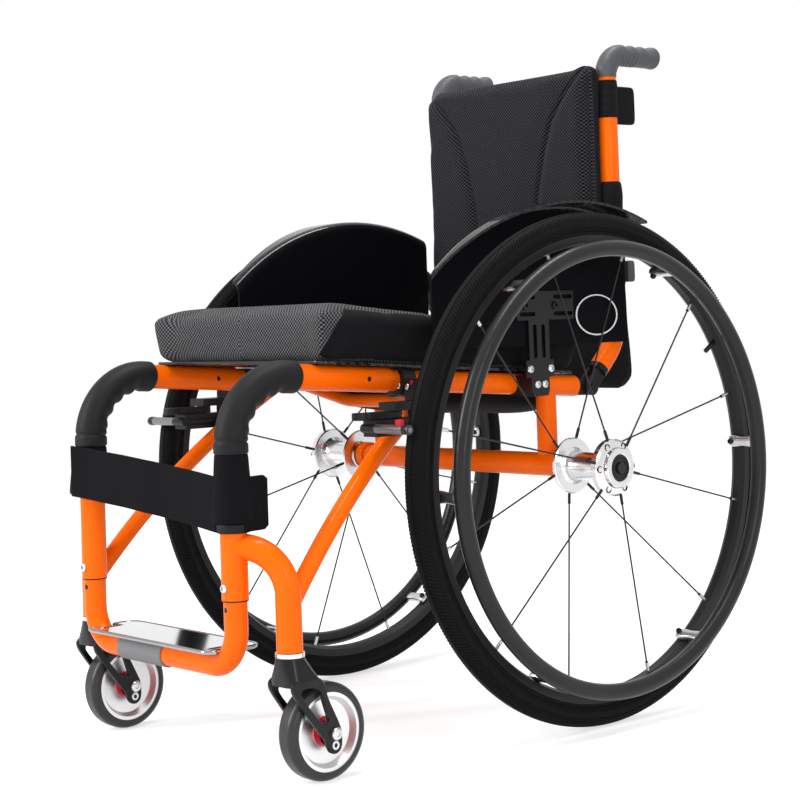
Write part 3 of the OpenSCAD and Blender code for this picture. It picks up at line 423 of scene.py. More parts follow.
def hingeMask(tree):
    # black fitting at the cane's foot, up to a length along its slope of 45 degrees
    _, y, z = objectPlace(tree)
    dy, dz = calc(tree, "SUBTRACT", y, marks["hinge"][0]), calc(tree, "SUBTRACT", z, marks["hinge"][1])
    along = calc(tree, "MULTIPLY", calc(tree, "ADD", dy, dz), math.sqrt(0.5))
    return band(tree, along, *marks["fitting"])


def endsMask(tree):
    # black tongue at the back and black insert inside the front tube
    y = objectPlace(tree)[1]
    return calc(tree, "MAXIMUM", band(tree, y, *marks["tongue"]), band(tree, y, *marks["insert"]))


def holeShadeMask(tree):
    # painted shade: dark discs in the front of the footrest's legs, standing for the shade inside the index
    # holes
    x, y, z = objectPlace(tree)
    dx = calc(tree, "SUBTRACT", calc(tree, "ABSOLUTE", x), marks["hole"][0])
    away = span(tree, dx, calc(tree, "SUBTRACT", z, marks["hole"][1]))
    return calc(tree, "MULTIPLY", band(tree, away, *marks["holeEdge"]), band(tree, y, *marks["holeFront"]))


def spacerMask(tree):
    # red washers beside the caster's hub
    x, _, z = objectPlace(tree)
    out = calc(tree, "ABSOLUTE", calc(tree, "SUBTRACT", calc(tree, "ABSOLUTE", x), marks["caster"]))
    return calc(tree, "MULTIPLY", band(tree, out, *marks["washer"]), band(tree, z, *marks["washerTop"]))


def barMask(tree):
    # the bare bar outside the black arm of the wheel lock
    return band(tree, calc(tree, "ABSOLUTE", objectPlace(tree)[0]), *marks["bar"])


def legRimShadeMask(tree):
    # painted shade: the lower rim of the front leg, where the footrest's tube comes out, is painted dark as
    # the shadow in the gap there
    return band(tree, objectPlace(tree)[2], *marks["legRimShade"])


def cool(tone, blue=0.001):
    # grey with a little more blue in it
    return (tone, tone, round(tone + blue, 4))


# orange paint; a mask turns part of it dark grey, for black fittings and for painted shade
def orangeFinish(name, mask=None):
    return plainFinish(name, (0.83, 0.108, 0.0003), (0.90, 0.135, 0.0006), 0.2, 0.3, scale=900.0, bump=0.02,
                       mask=mask, other=cool(0.012), coat=0.12, coatRough=0.06, specular=0.06)


orangePaint = orangeFinish("orangePaint")
canePaint = orangeFinish("canePaint", hingeMask)
railPaint = orangeFinish("railPaint", endsMask)
# the footrest's orange, with painted shade in its index holes
footPaint = orangeFinish("footPaint", holeShadeMask)
# the front legs' orange, with painted shade on their lower rim
legPaint = orangeFinish("legPaint", legRimShadeMask)
blackFoam = plainFinish("blackFoam", cool(0.005), cool(0.010), 0.42, 0.7, scale=1300.0, bump=0.35,
                        specular=0.18)
padEdge, seatEdge = sideMask(149.0, 0.0), sideMask(150.0, -346.0, 34.0, 434.0, 54.0)
padMesh = meshFinish("padMesh", cool(0.001), cool(0.035, 0.005), 0.0046, 0.6, padEdge, cool(0.006))
seatMesh = meshFinish("seatMesh", cool(0.003), cool(0.115, 0.005), 0.0048, 0.7, seatEdge, cool(0.005),
                      Round=1.0, Front=-0.346)
blackCloth = clothFinish("blackCloth", cool(0.004), cool(0.009), 0.0011, 0.35, specular=0.12)
strapCloth = clothFinish("strapCloth", cool(0.003), cool(0.006), 0.0009, 0.25, specular=0.08)
satinBlack = plainFinish("satinBlack", cool(0.003), cool(0.007), 0.22, 0.34, scale=700.0, bump=0.06,
                         specular=0.25)
lockBlack = plainFinish("lockBlack", cool(0.007), cool(0.014), 0.3, 0.5, scale=600.0, bump=0.1,
                        specular=0.2)
lockArm = plainFinish("lockArm", cool(0.008), cool(0.016), 0.3, 0.45, scale=600.0, bump=0.06,
                      mask=barMask, other=cool(0.20, 0.01), metal=(0.0, 0.9), specular=0.2)
steelBolt = plainFinish("steelBolt", cool(0.55, 0.01), cool(0.72, 0.01), 0.18, 0.32, scale=900.0, bump=0.04,
                        metallic=1.0)
casterPin = plainFinish("casterPin", cool(0.60, 0.01), cool(0.75, 0.01), 0.15, 0.3, scale=900.0, bump=0.03,
                        mask=spacerMask, other=(0.50, 0.012, 0.025), metal=(1.0, 0.5))
gripRubber = plainFinish("gripRubber", (0.050, 0.052, 0.055), (0.080, 0.082, 0.086), 0.38, 0.55, scale=800.0,
                         bump=0.2, specular=0.3)
greySleeve = plainFinish("greySleeve", cool(0.15, 0.005), cool(0.18, 0.005), 0.55, 0.7, scale=900.0,
                         bump=0.15, specular=0.3)
chrome = plainFinish("chrome", cool(0.26, 0.01), cool(0.42, 0.01), 0.05, 0.12, scale=500.0, bump=0.0,
                     metallic=1.0)
rimBlack = plainFinish("rimBlack", cool(0.009), cool(0.015), 0.3, 0.45, scale=500.0, bump=0.05,
                       specular=0.2)
handrimBlack = plainFinish("handrimBlack", cool(0.009), cool(0.015), 0.25, 0.36, scale=700.0,
                           bump=0.04, specular=0.24)
tabMetal = plainFinish("tabMetal", cool(0.50, 0.01), cool(0.66, 0.01), 0.22, 0.36, scale=700.0, bump=0.05,
                       metallic=1.0)
casterRubber = plainFinish("casterRubber", cool(0.012), cool(0.022), 0.3, 0.45, scale=700.0,
                           bump=0.1, specular=0.4)
redPlastic = plainFinish("redPlastic", (0.42, 0.008, 0.02), (0.55, 0.012, 0.025), 0.3, 0.45, scale=500.0,
                         bump=0.03, specular=0.3)
capBlack = plainFinish("capBlack", cool(0.008), cool(0.013), 0.25, 0.4, scale=700.0, bump=0.05,
                       specular=0.25)
badgeWhite = plainFinish("badgeWhite", (0.62, 0.62, 0.62), (0.74, 0.74, 0.74), 0.3, 0.45, scale=500.0,
                         bump=0.02)
footMetal = plainFinish("footMetal", cool(0.74, 0.01), cool(0.84, 0.01), 0.06, 0.14, scale=420.0, bump=0.0,
                        metallic=1.0)
tyreRubber = plainFinish("tyreRubber", (0.003, 0.003, 0.003), (0.006, 0.006, 0.006), 0.5, 0.72, scale=900.0,
                         bump=0.15, specular=0.08)


def carbonFinish(name, sign, tow, floorTone, towTone):
    # twill on the plate's plane, and round the lip by angle and width; a guard shows tows only on its lip
    made, tree, inputs = newMaterial(name, floorTone, roughness=0.3, coatRough=0.03, specular=0.05)
    x, y, z = objectPlace(tree)
    z = calc(tree, "SUBTRACT", z, 0.297)
    along = calc(tree, "MULTIPLY", calc(tree, "ARCTAN2", z, y), 0.31)
    lip = calc(tree, "GREATER_THAN", calc(tree, "MULTIPLY", x, sign), 0.1815)
    u = calc(tree, "MULTIPLY_ADD", lip, calc(tree, "SUBTRACT", along, y), y)
    v = calc(tree, "MULTIPLY_ADD", lip, calc(tree, "SUBTRACT", x, z), z)
    out = use(tree, twill, U=u, V=v, Tow=tow)
    soft = use(tree, grain, Scale=300.0, Low=0.14, High=0.26)
    edge = band(tree, awayFrom(tree, (0.0, 297.0)), 0.294, 0.299)
    bare = calc(tree, "MAXIMUM", calc(tree, "MULTIPLY", lip, edge), 0.0 if sign else 1.0)
    tows = calc(tree, "MULTIPLY", out["Over"], bare)
    tree.links.new(blendColor(tree, tows, floorTone, towTone), inputs["Base Color"])
    dull = calc(tree, "MULTIPLY", calc(tree, "SUBTRACT", 1.0, bare), 0.35)
    tree.links.new(calc(tree, "ADD", soft["Roughness"], dull), inputs["Roughness"])
    tree.links.new(calc(tree, "MULTIPLY", bare, 0.5), inputs["Coat Weight"])
    setBump(tree, inputs, calc(tree, "MULTIPLY", out["Height"], bare), 0.3, 0.0004)
    return made


guardCarbon = {k: carbonFinish(k + "GuardCarbon", s, 0.0032, cool(0.002), cool(0.012, 0.002))
               for k, s in sides.items()}
plateCarbon = carbonFinish("plateCarbon", 0.0, 0.0032, cool(0.006), cool(0.024, 0.003))


def spokeFinish():
    # black spokes with bright nipples: the tone changes at the nipple's distance from the axle
    made, tree, inputs = newMaterial("spokeFinish", (0.02, 0.02, 0.02), roughness=0.35, specular=0.25)
    bright = band(tree, awayFrom(tree, (0.0, 297.0)), 0.2460, 0.2465)
    soft = use(tree, grain, Scale=700.0, Low=0.25, High=0.4)
    tree.links.new(blendColor(tree, bright, cool(0.010), cool(0.62, 0.01)), inputs["Base Color"])
    tree.links.new(bright, inputs["Metallic"])
    tree.links.new(soft["Roughness"], inputs["Roughness"])
    return made


def turnedFinish(name, centre, lines, dark, light, soft=(0.08, 0.2), core=None):
    # turned metal: rings drawn by the distance from the axle; a core may have its own radius and colour
    made, tree, inputs = newMaterial(name, light, metallic=1.0, roughness=0.15)
    away = awayFrom(tree, centre)
    values = {"W": calc(tree, "MULTIPLY", away, lines), "Scale": 1.0, "Detail": 3.0}
    ring = addNode(tree, "ShaderNodeTexNoise", values, noise_dimensions="1D").outputs[0]
    dull = use(tree, grain, Scale=200.0, Low=soft[0], High=soft[1])
    color = blendColor(tree, ring, dark, light)
    if core:
        color = blendColor(tree, band(tree, away, core[0] + 0.0003, core[0]), color, core[1])
    tree.links.new(color, inputs["Base Color"])
    tree.links.new(calc(tree, "MULTIPLY_ADD", ring, 0.12, dull["Roughness"]), inputs["Roughness"])
    setBump(tree, inputs, ring, 0.05, 0.0003)
    return made


spokeBlack = spokeFinish()
hubMetal = turnedFinish("hubMetal", (0.0, 297.0), 2500.0, cool(0.62, 0.01), cool(0.82, 0.01))
casterMetal = turnedFinish("casterMetal", (-388.0, 51.0), 2500.0, cool(0.66, 0.01), cool(0.88, 0.01),
                           soft=(0.24, 0.34), core=(0.0158, (0.45, 0.012, 0.025)))
print("materials made")


def dress(material, *names):
    for name in names:
        slots = nodes[name].data.materials
        slots.clear()
        slots.append(material)


def soften(width, *names):
    # a CAD node is welded, its flat triangles joined, and its edges over 40 degrees rounded by width mm
    for name in names:
        stack = nodes[name].modifiers
        stack.new("weld", "WELD").merge_threshold = 0.00002
        flat = stack.new("flat", "DECIMATE")
        flat.decimate_type, flat.angle_limit = "DISSOLVE", math.radians(1.0)
        edge = stack.new("edge", "BEVEL")
        edge.width, edge.segments = width / 1000, 2
        edge.limit_method, edge.angle_limit = "ANGLE", math.radians(40)
        stack.new("shade", "WEIGHTED_NORMAL").keep_sharp = True


def both(name):
    return ["left_" + name, "right_" + name]


dress(legPaint, *both("frame_tube"))
dress(orangePaint, *both("caster_leg"), *both("brace"), *both("axle_upright"), "axle_tube", "cross_tube")
dress(canePaint, *both("cane"))
dress(railPaint, *both("seat_tube"))
dress(footPaint, "footrest_tube")
dress(satinBlack, *both("guard_bracket"))
dress(lockBlack, *both("brake_clamp"), *both("brake_lever"))
dress(lockArm, *both("brake_shoe"))
dress(steelBolt, "wheel_axles")
dress(casterPin, *both("caster_pins"))
dress(greySleeve, "footrest_sleeve")
dress(footMetal, "footplate")
dress(plateCarbon, "seat_plate")
dress(rimBlack, *both("rim"))
dress(spokeBlack, *both("spokes"))
dress(capBlack, *both("button"))
dress(casterRubber, *both("caster_tyre"))
dress(casterMetal, *both("caster_rim"))
for side in sides:
    dress(guardCarbon[side], side + "_side_guard")
soften(0.7, *both("side_guard"))
soften(0.8, *both("brake_clamp"), *both("brake_lever"), *both("brake_shoe"), *both("guard_bracket"))
soften(0.6, "seat_plate", "footplate", *both("button"), "footrest_sleeve")

# camera where the photograph was taken; focal length and middle are pixels of a picture this wide
viewPoint = {"place": (1674.7, -1583.8, 474.0), "yaw": 139.72, "pitch": 1.71, "roll": -1.89, "focal": 1819.5,
             "middle": (354.4, 268.3), "wide": 800, "sensor": 36.0}


def placeAxes(obj, right, up, back, place):
    # the object's own three axes and its place are the columns of its matrix
    turn = np.eye(4)
    turn[:3] = np.stack([right, up, back, place], 1)
    obj.matrix_world = turn.T.tolist()
    scene.collection.objects.link(obj)


def makeCamera(v):
    # forward from yaw and pitch; right and up turned by the roll
    yaw, pitch, roll = (math.radians(v[k]) for k in ("yaw", "pitch", "roll"))
    ahead = np.array([math.cos(pitch) * math.cos(yaw), math.cos(pitch) * math.sin(yaw), math.sin(pitch)])
    right = unit(np.cross(ahead, (0, 0, 1)))
    up = np.cross(right, ahead)
    cos, sin = math.cos(roll), math.sin(roll)
    right, up = cos * right + sin * up, cos * up - sin * right
    data = bpy.data.cameras.new("photoCamera")
    data.sensor_width = v["sensor"]
    data.lens = v["focal"] / v["wide"] * v["sensor"]
    data.shift_x = 0.5 - v["middle"][0] / v["wide"]
    data.shift_y = v["middle"][1] / v["wide"] - 0.5
    data.clip_end = 50.0
    obj = bpy.data.objects.new("photoCamera", data)
    placeAxes(obj, right, up, -ahead, toRow(v["place"]))
    scene.camera = obj


makeCamera(viewPoint)
print("camera placed")

# bright sweep all round; a lamp has a place, a width and height, a power and whether gloss shows it
studio = {"ambient": 0.52, "floor": 0.62, "glow": 0.57, "half": 2.8, "aim": (0.0, 0.0, 0.4),
          "lamps": {"key": ((-1.2, -2.6, 1.6), (0.30, 1.8), 74.0, True),
                    "fill": ((2.8, 0.6, 1.4), (2.0, 2.0), 16.0, False),
                    "low": ((2.0, -2.2, 0.45), (1.6, 0.7), 26.0, False),
                    "side": ((2.9, -0.9, 1.3), (0.2, 1.8), 18.0, True),
                    "top": ((0.2, 0.1, 2.8), (2.4, 0.35), 46.0, True),
                    "back": ((-2.2, 2.0, 1.8), (2.0, 2.0), 14.0, False)}}


def seenRays(tree):
    # 1 for rays that show the background or the floor itself, 0 for those that only carry its light
    rays = addNode(tree, "ShaderNodeLightPath").outputs
    mirror = calc(tree, "MAXIMUM", rays["Is Glossy Ray"], rays["Is Transmission Ray"])
    return calc(tree, "MAXIMUM", rays["Is Camera Ray"], mirror)


def makeStudio(s):
    world = bpy.data.worlds.new("studioWorld")
    scene.world = world
    world.use_nodes = True
    tree = world.node_tree
    back = tree.nodes["Background"]
    back.inputs[0].default_value = (1.0, 1.0, 1.0, 1.0)
    strength = calc(tree, "MULTIPLY_ADD", seenRays(tree), 1.0 - s["ambient"], s["ambient"])
    tree.links.new(strength, back.inputs[1])
    for name, (place, size, watts, glossy) in s["lamps"].items():
        data = bpy.data.lights.new(name, "AREA")
        data.shape, data.size, data.size_y, data.energy = "RECTANGLE", size[0], size[1], watts
        lamp = bpy.data.objects.new(name, data)
        aim = unit(np.array(s["aim"]) - place)
        right = unit(np.cross(aim, (0.0, 0.01, 1.0)))
        placeAxes(lamp, right, np.cross(right, aim), -aim, place)
        lamp.visible_glossy = glossy
    h = s["half"]
    mesh = bpy.data.meshes.new("floor")
    mesh.from_pydata([(-h, -h, 0), (h, -h, 0), (h, h, 0), (-h, h, 0)], [], [(0, 1, 2, 3)])
    floor = bpy.data.objects.new("floor", mesh)
    made, tree, inputs = newMaterial("floorPaint", (s["floor"],) * 3, roughness=0.9, specular=0.0)
    inputs["Emission Color"].default_value = (1.0, 1.0, 1.0, 1.0)
    tree.links.new(calc(tree, "MULTIPLY", seenRays(tree), s["glow"]), inputs["Emission Strength"])
    mesh.materials.append(made)
    scene.collection.objects.link(floor)
    scene.view_settings.view_transform = "Standard"


makeStudio(studio)
print("studio lit")


def socketHeads(name, spots, outs, radius, height, material, body, slotName):
    # button heads: a domed profile turned about each bolt's line, with a six-sided socket sunk in its middle
    spots, outs = np.asarray(spots, float), unit(np.asarray(outs, float))
    first, second = acrossPair(outs)
    a = roundSteps(36)
    six = 0.42 * radius / np.cos(a % (np.pi / 3) - np.pi / 6)
    dome = np.array([0.94, 1.0, 0.97, 0.86, 0.68])[None] * radius + 0 * a[:, None]
    r = np.concatenate([dome, six[:, None] * 1.05, six[:, None], six[:, None]], 1)
    h = np.array([-0.2, 0.12, 0.42, 0.78, 0.96, 1.0, 0.94, 0.35]) * height
    a = a[:, None, None]
    ways = np.cos(a) * first[:, None, None] + np.sin(a) * second[:, None, None]
    grid = spots[:, None, None] + r[None, ..., None] * ways + h[None, None, :, None] * outs[:, None, None]
    return surface(name, grid, material, body, wrapU=True, capV=True, crease=38)


# rear wheels
# the tyre's rows: angles from the tread's middle, with 0 plain, 1 a groove, 2 the floor and 3 blocks
tyreShape = {"radius": 297.0, "width": 26.0, "bead": (270.2, 8.6), "blocks": 424, "depth": 0.9,
             "slant": 0.55, "block": (0.05, 0.15, 0.62, 0.72), "groove": 0.7,
             "wall": ((142, 0), (130, 0), (121, 0), (118, 1), (115, 0), (104, 0), (94, 0), (85, 0)),
             "tread": ((80, 2), (79, 3), (60, 3), (40, 3), (22, 3), (21, 2), (17, 2), (16, 0), (8, 0),
                       (0, 0))}
handrimShape = {"radius": 253.0, "tube": 9.5, "out": 37.0}
tabShape = {"count": 6, "turn": 33.0, "radius": 253.4, "low": -6.0, "high": 31.0, "wide": 7.4, "thick": 4.5,
            "waist": 0.2, "waistAt": (0.15, 0.45), "screw": -1.5, "head": (3.6, 3.4)}
hubShape = {"bore": 6.75, "waist": 16.5, "flange": 33.0, "inner": -42.0, "outer": 28.0, "boss": 23.0,
            "cap": 15.2, "pockets": 6, "pocketAt": 27.6, "pocket": 4.0}
wheelHub = np.array([232.0, 0.0, 297.0])
wheelAxis = np.array([1.0, 0.0, 0.0])


def makeTyre(side, sign, t):
    # a round section turned about the axle; its tread rows are raised by steps round the wheel into slanted
    # blocks on both sides of a plain rib, and the sidewall has a shallow groove
    half = t["width"] / 2
    part = np.array(t["wall"] + t["tread"], float)
    angle = np.concatenate([-part[:, 0], part[-2::-1, 0]])
    kind = np.concatenate([part[:, 1], part[-2::-1, 1]])
    phase = np.tile(t["block"], t["blocks"]) + np.repeat(np.arange(t["blocks"]), 4)
    high = np.tile([0.0, 1.0, 1.0, 0.0], t["blocks"])
    plain = np.where(kind == 2, 1.0, np.where(kind == 1, t["groove"], 0.0))
    cut = np.where(kind == 3, 1 - high[:, None], plain) * t["depth"]
    a = np.radians(angle)[None]
    shear = t["slant"] * half * np.abs(a) * (np.abs(angle) < t["wall"][-1][0]) / t["radius"]
    turn = 2 * np.pi * phase[:, None] / t["blocks"] + shear
    r = t["radius"] - half + (half - cut) * np.cos(a)
    x = (half - cut) * np.sin(a)
    beadR, beadX = t["bead"]
    bead = np.array([beadX, 0.0, -beadX])[None] + 0 * turn[:, :3]
    r = np.concatenate([r, 0 * bead + beadR], 1)
    x = np.concatenate([x, bead], 1)
    turn = np.concatenate([turn, np.repeat(turn[:, -1:], 3, 1)], 1)
    grid = wheelHub + np.stack([x, r * np.sin(turn), -r * np.cos(turn)], -1)
    obj = surface(side + "RoadTyre", mirrored(grid, sign), tyreRubber, side + "_rear_wheel",
                  True, True, crease=30)
    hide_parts(side + "_tyre")


def around(copies, turn):
    # unit vectors out from and along the wheel's edge, one pair for each copy
    a = np.radians(turn + 360.0 / copies * np.arange(copies))
    return np.stack([0 * a, np.sin(a), -np.cos(a)], 1), np.stack([0 * a, np.cos(a), np.sin(a)], 1)


def makeHandrim(side, sign, h, t):
    # plain round tube turned about the axle, and waisted rounded bars from the rim to it, each with a screw
    body = side + "_rear_wheel"
    a = roundSteps(36)
    section = np.stack([h["radius"] + h["tube"] * np.cos(a), h["out"] + h["tube"] * np.sin(a)], 1)
    ring = surface(side + "PushRing", mirrored(lathe(section, 256, wheelHub, wheelAxis), sign), handrimBlack,
                   body, True, True)
    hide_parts(side + "_handrim")
    out, along = around(t["count"], t["turn"])
    s = np.linspace(-1, 1, 31)
    swell = (1 - np.abs(s) ** 6) ** (1 / 6) * 0.999 + 0.001
    slim = swell * (1 - t["waist"] * hump(s, *t["waistAt"]))
    b = roundSteps(28)
    at = t["low"] + (t["high"] - t["low"]) * (s + 1) / 2
    grid = (wheelHub + t["radius"] * out[:, None, None] + at[None, :, None, None] * wheelAxis
            + (slim[:, None] * power(np.cos(b), 0.6) * t["wide"])[None, ..., None] * along[:, None, None]
            + (swell[:, None] * power(np.sin(b), 0.7) * t["thick"])[None, ..., None] * out[:, None, None])
    surface(side + "RingTabs", mirrored(grid, sign), tabMetal, body, wrapV=True, capU=True)
    spots = wheelHub + (t["radius"] - t["thick"]) * out + t["screw"] * wheelAxis
    socketHeads(side + "TabScrews", mirrored(spots, sign), -out, *t["head"], satinBlack, body, "rim_black")


def makeHub(side, sign, h):
    # hub shell turned about the axle: a waist between two chamfered flanges, and a boss with a black cap
    f, o, n, b = h["flange"], h["outer"], h["inner"], h["boss"]
    shell = [(h["bore"], n - 2), (17.0, n - 2), (18.0, n - 1), (18.0, n), (f - 1.5, n), (f, n + 1.2),
             (f, n + 3.8), (f - 1.5, n + 5), (22.0, n + 5), (18.0, n + 7.5), (h["waist"], n + 14),
             (h["waist"], o - 22), (18.5, o - 14), (22.0, o - 10.6), (f - 1.5, o - 10), (f, o - 8.6),
             (f, o - 2.2), (f - 2.6, o + 0.2), (b + 3.0, o + 0.8), (b + 0.6, o + 2.2), (b, o + 4.0),
             (b, o + 7.0), (b - 1.0, o + 8.0), (h["cap"] + 1.2, o + 8.0), (h["cap"] + 0.2, o + 7.0),
             (h["cap"] + 0.2, o + 3.0), (h["bore"], o + 3.0)]
    body = side + "_rear_wheel"
    obj = surface(side + "HubShell", mirrored(lathe(shell, 96, wheelHub, wheelAxis), sign), hubMetal, body,
                  True, True, crease=24)
    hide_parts(side + "_hub")
    c = h["cap"]
    cap = [(h["bore"], o + 2.5), (c, o + 2.5), (c, o + 6.4), (c - 0.8, o + 7.2), (c - 2.2, o + 7.2),
           (c - 2.6, o + 6.2), (c - 3.6, o + 6.2), (c - 4.0, o + 7.0), (c - 5.4, o + 7.0),
           (c - 5.8, o + 6.2), (h["bore"] + 0.6, o + 6.2), (h["bore"], o + 5.8)]
    surface(side + "HubCap", mirrored(lathe(cap, 72, wheelHub, wheelAxis), sign), capBlack, body,
            True, True, crease=24)
    out, along = around(h["pockets"], 30.0)
    p = h["pocket"]
    dish = np.array([[p, -1.5], [p, 0.55], [p - 0.5, 0.8], [p - 0.9, 0.55], [p - 1.3, -0.3], [0.05, -0.3]])
    spin = roundSteps(24)[:, None, None]
    turned = np.cos(spin) * out[:, None, None] + np.sin(spin) * along[:, None, None]
    spots = wheelHub + h["pocketAt"] * out + (o + 0.45) * wheelAxis
    grid = spots[:, None, None] + dish[None, None, :, :1] * turned + dish[None, None, :, 1:] * wheelAxis
    surface(side + "HubHoles", mirrored(grid, sign), tyreRubber, body, wrapU=True, capV=True,
            crease=30)


for side, sign in sides.items():
    makeTyre(side, sign, tyreShape)
    makeHandrim(side, sign, handrimShape, tabShape)
    makeHub(side, sign, hubShape)
print("rear wheels dressed")


# soft pieces
def pointsOf(mesh):
    # the mesh's points in mm from the rear axle
    co = np.empty(len(mesh.vertices) * 3)
    mesh.vertices.foreach_get("co", co)
    return co.reshape(-1, 3) * 1000.0 - (0.0, axleY, 0.0)


def setPoints(obj, points):
    obj.data.vertices.foreach_set("co", toRow(points).ravel())
    obj.data.update()


def bake(obj):
    # the modifiers' result becomes the mesh
    graph = bpy.context.evaluated_depsgraph_get()
    made = bpy.data.meshes.new_from_object(obj.evaluated_get(graph), depsgraph=graph)
    material = obj.data.materials[0]
    obj.modifiers.clear()
    obj.data = made
    made.materials.clear()
    made.materials.append(material)


def puffUp(obj, cell, cap, pressure=4.0, lastFrame=20):
    # cloth simulation: the skin is remeshed into even cells and blown up from inside without gravity; no
    # point moves farther than the cap; one subdivision follows
    remesh = obj.modifiers.new("cells", "REMESH")
    remesh.mode, remesh.voxel_size, remesh.use_smooth_shade = "VOXEL", cell / 1000, True
    bake(obj)
    start = pointsOf(obj.data)
    skin = obj.modifiers.new("skin", "CLOTH")
    skin.settings.use_pressure = True
    skin.settings.uniform_pressure_force = pressure
    skin.settings.effector_weights.gravity = 0.0
    skin.collision_settings.use_collision = False
    skin.point_cache.frame_start, skin.point_cache.frame_end = 1, lastFrame
    for number in range(1, lastFrame + 1):
        scene.frame_set(number)
    graph = bpy.context.evaluated_depsgraph_get()
    step = pointsOf(obj.evaluated_get(graph).to_mesh()) - start
    far = np.linalg.norm(step, axis=1, keepdims=True)
    obj.evaluated_get(graph).to_mesh_clear()
    obj.modifiers.clear()
    scene.frame_set(1)
    setPoints(obj, start + step * np.minimum(1.0, cap / np.maximum(far, 1e-6)))
    print(obj.name, "puffed by", round(float(np.minimum(far, cap).mean()), 2), "mm")
    fine = obj.modifiers.new("fine", "SUBSURF")
    fine.levels = fine.render_levels = 1
    bake(obj)
    obj.data.polygons.foreach_set("use_smooth", np.ones(len(obj.data.polygons), bool))


cushionShape = {"width": 336.0, "depth": 406.0, "back": 50.0, "edge": 56.0, "crown": 11.0, "low": 17.95,
                "corner": 14.0, "seatZ": 392.0, "slope": 4.0, "shrink": 3.0, "cap": 6.0, "ear": (6.0, 12.0),
                "earFrom": (0.7, 0.75), "cell": 5.0, "base": 0.22, "wall": 0.55, "under": 6.0, "over": 20.0,
                "dish": 13.0, "dishFront": (40.0, 110.0), "dishSide": (110.0, 40.0), "dishUp": (45.0, 20.0),
                "seam": -346.0, "lean": 34.0, "seamTall": 54.0, "seamDeep": 1.8, "seamWide": 2.4,
                "sideFrom": (145.0, 10.0), "sideUp": (4.0, 8.0)}


def seatToRow(p, s):
    # points level with the seat, turned down towards the back about the line above the axle
    a = math.radians(s["slope"])
    y, z = p[..., 1], p[..., 2]
    height = s["seatZ"] - y * math.sin(a) + z * math.cos(a)
    return np.stack([p[..., 0], y * math.cos(a) + z * math.sin(a), height], -1)


def rowToSeat(p, s):
    # the same turn undone
    a = math.radians(s["slope"])
    y, z = p[..., 1], p[..., 2] - s["seatZ"]
    return np.stack([p[..., 0], y * math.cos(a) - z * math.sin(a), y * math.sin(a) + z * math.cos(a)], -1)


def roundedLoop(w, l, r, count):
    # rounded rectangle by angle: straight sides and quarter circles, evenly spaced along its length
    cx, cy = w / 2 - r, l / 2 - r
    t = np.linspace(0, np.pi / 2, 24)
    quarter = np.stack([cx + r * np.cos(t), cy + r * np.sin(t)], 1)
    loop = np.concatenate([quarter, quarter[::-1] * (-1, 1), -quarter, quarter[::-1] * (1, -1)])
    return evenly(loop, count, True)[0]


def easedLoop(corners, count, ease):
    # an even closed loop through the corners, its turns eased by a moving average
    loop = evenly(corners, count, True)[0]
    wide = np.ones(2 * ease + 1) / (2 * ease + 1)
    padded = [np.concatenate([c[-ease:], c, c[:ease]]) for c in loop.T]
    return np.stack([np.convolve(c, wide, "valid") for c in padded], 1)


def cushionGrid(c):
    # rings from the flat base out, up the drawn-in side and in over the crown, sized by functions of v
    v = np.linspace(0, 1, 61)
    base, wall = c["base"], c["wall"]
    inBase = np.clip(v / base, 0, 1)
    inWall = np.clip((v - base) / (wall - base), 0, 1)
    inTop = np.clip((v - wall) / (1 - wall), 0, 1)
    inset = c["under"] * (1 - inWall) ** 3 + c["over"] * past(inWall, (0.45, 0.55)) ** 2.2 + c["shrink"]
    scale = np.where(v < base, inBase, np.where(v < wall, 1.0, 1 - inTop))
    side = c["edge"] * np.sin(inWall * np.pi / 2) ** 0.9
    top = c["edge"] + c["crown"] * (1 - (1 - inTop) ** 2)
    height = c["low"] + 1.0 + np.where(v < base, 0.0, np.where(v < wall, side, top))
    loop = roundedLoop(c["width"], c["depth"], c["corner"], 240)
    half = np.array([c["width"], c["depth"]]) / 2
    size = (half[None] - inset[:, None]) / half[None]
    flat = loop[None] * size[:, None] * np.clip(scale, 0.002, 1)[:, None, None]
    mid = c["back"] - c["depth"] / 2
    p = np.stack([flat[..., 0], flat[..., 1] + mid, np.broadcast_to(height[:, None], flat.shape[:2])], -1)
    return seatToRow(p, c)


def makeCushion(c):
    # the puffed skin is flat where it lies on the seat plate, its corners are drawn out, its top is dished
    # behind the front roll, and a seam runs up each side where the plain side panel begins
    obj = surface("seatPad", cushionGrid(c), seatMesh, "frame", wrapV=True, capU=True)
    puffUp(obj, c["cell"], c["cap"])
    p = rowToSeat(pointsOf(obj.data), c)
    mid = c["back"] - c["depth"] / 2
    half, long = c["width"] / 2, c["depth"] / 2
    fromX, fromY = ((start, 1 - start) for start in c["earFrom"])
    corner = past(np.abs(p[:, 0]) / half, fromX) * past(np.abs(p[:, 1] - mid) / long, fromY)
    p[:, 0] += np.sign(p[:, 0]) * c["ear"][0] * corner
    p[:, 1] += np.sign(p[:, 1] - mid) * c["ear"][1] * corner
    p[:, 0] = np.clip(p[:, 0], -half - 2, half + 2)
    p[:, 1] = np.clip(p[:, 1], c["back"] - c["depth"] - 6, c["back"])
    p[:, 2] = np.maximum(p[:, 2], c["low"] + 0.25)
    hollow = past(p[:, 1] - c["back"] + c["depth"], c["dishFront"])
    hollow *= 1 - past(np.abs(p[:, 0]), c["dishSide"])
    p[:, 2] -= c["dish"] * hollow * past(p[:, 2], c["dishUp"])
    onSide = past(p[:, 2] - c["low"], c["sideUp"]) * past(np.abs(p[:, 0]), c["sideFrom"])
    seam = c["seam"] + c["lean"] * np.clip((p[:, 2] - c["low"]) / c["seamTall"], 0, None) ** 2
    p[:, 0] -= np.sign(p[:, 0]) * c["seamDeep"] * hump(p[:, 1], seam, c["seamWide"]) * onSide
    setPoints(obj, seatToRow(p, c))
    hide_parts("seat_cushion")


makeCushion(cushionShape)
print("cushion made")

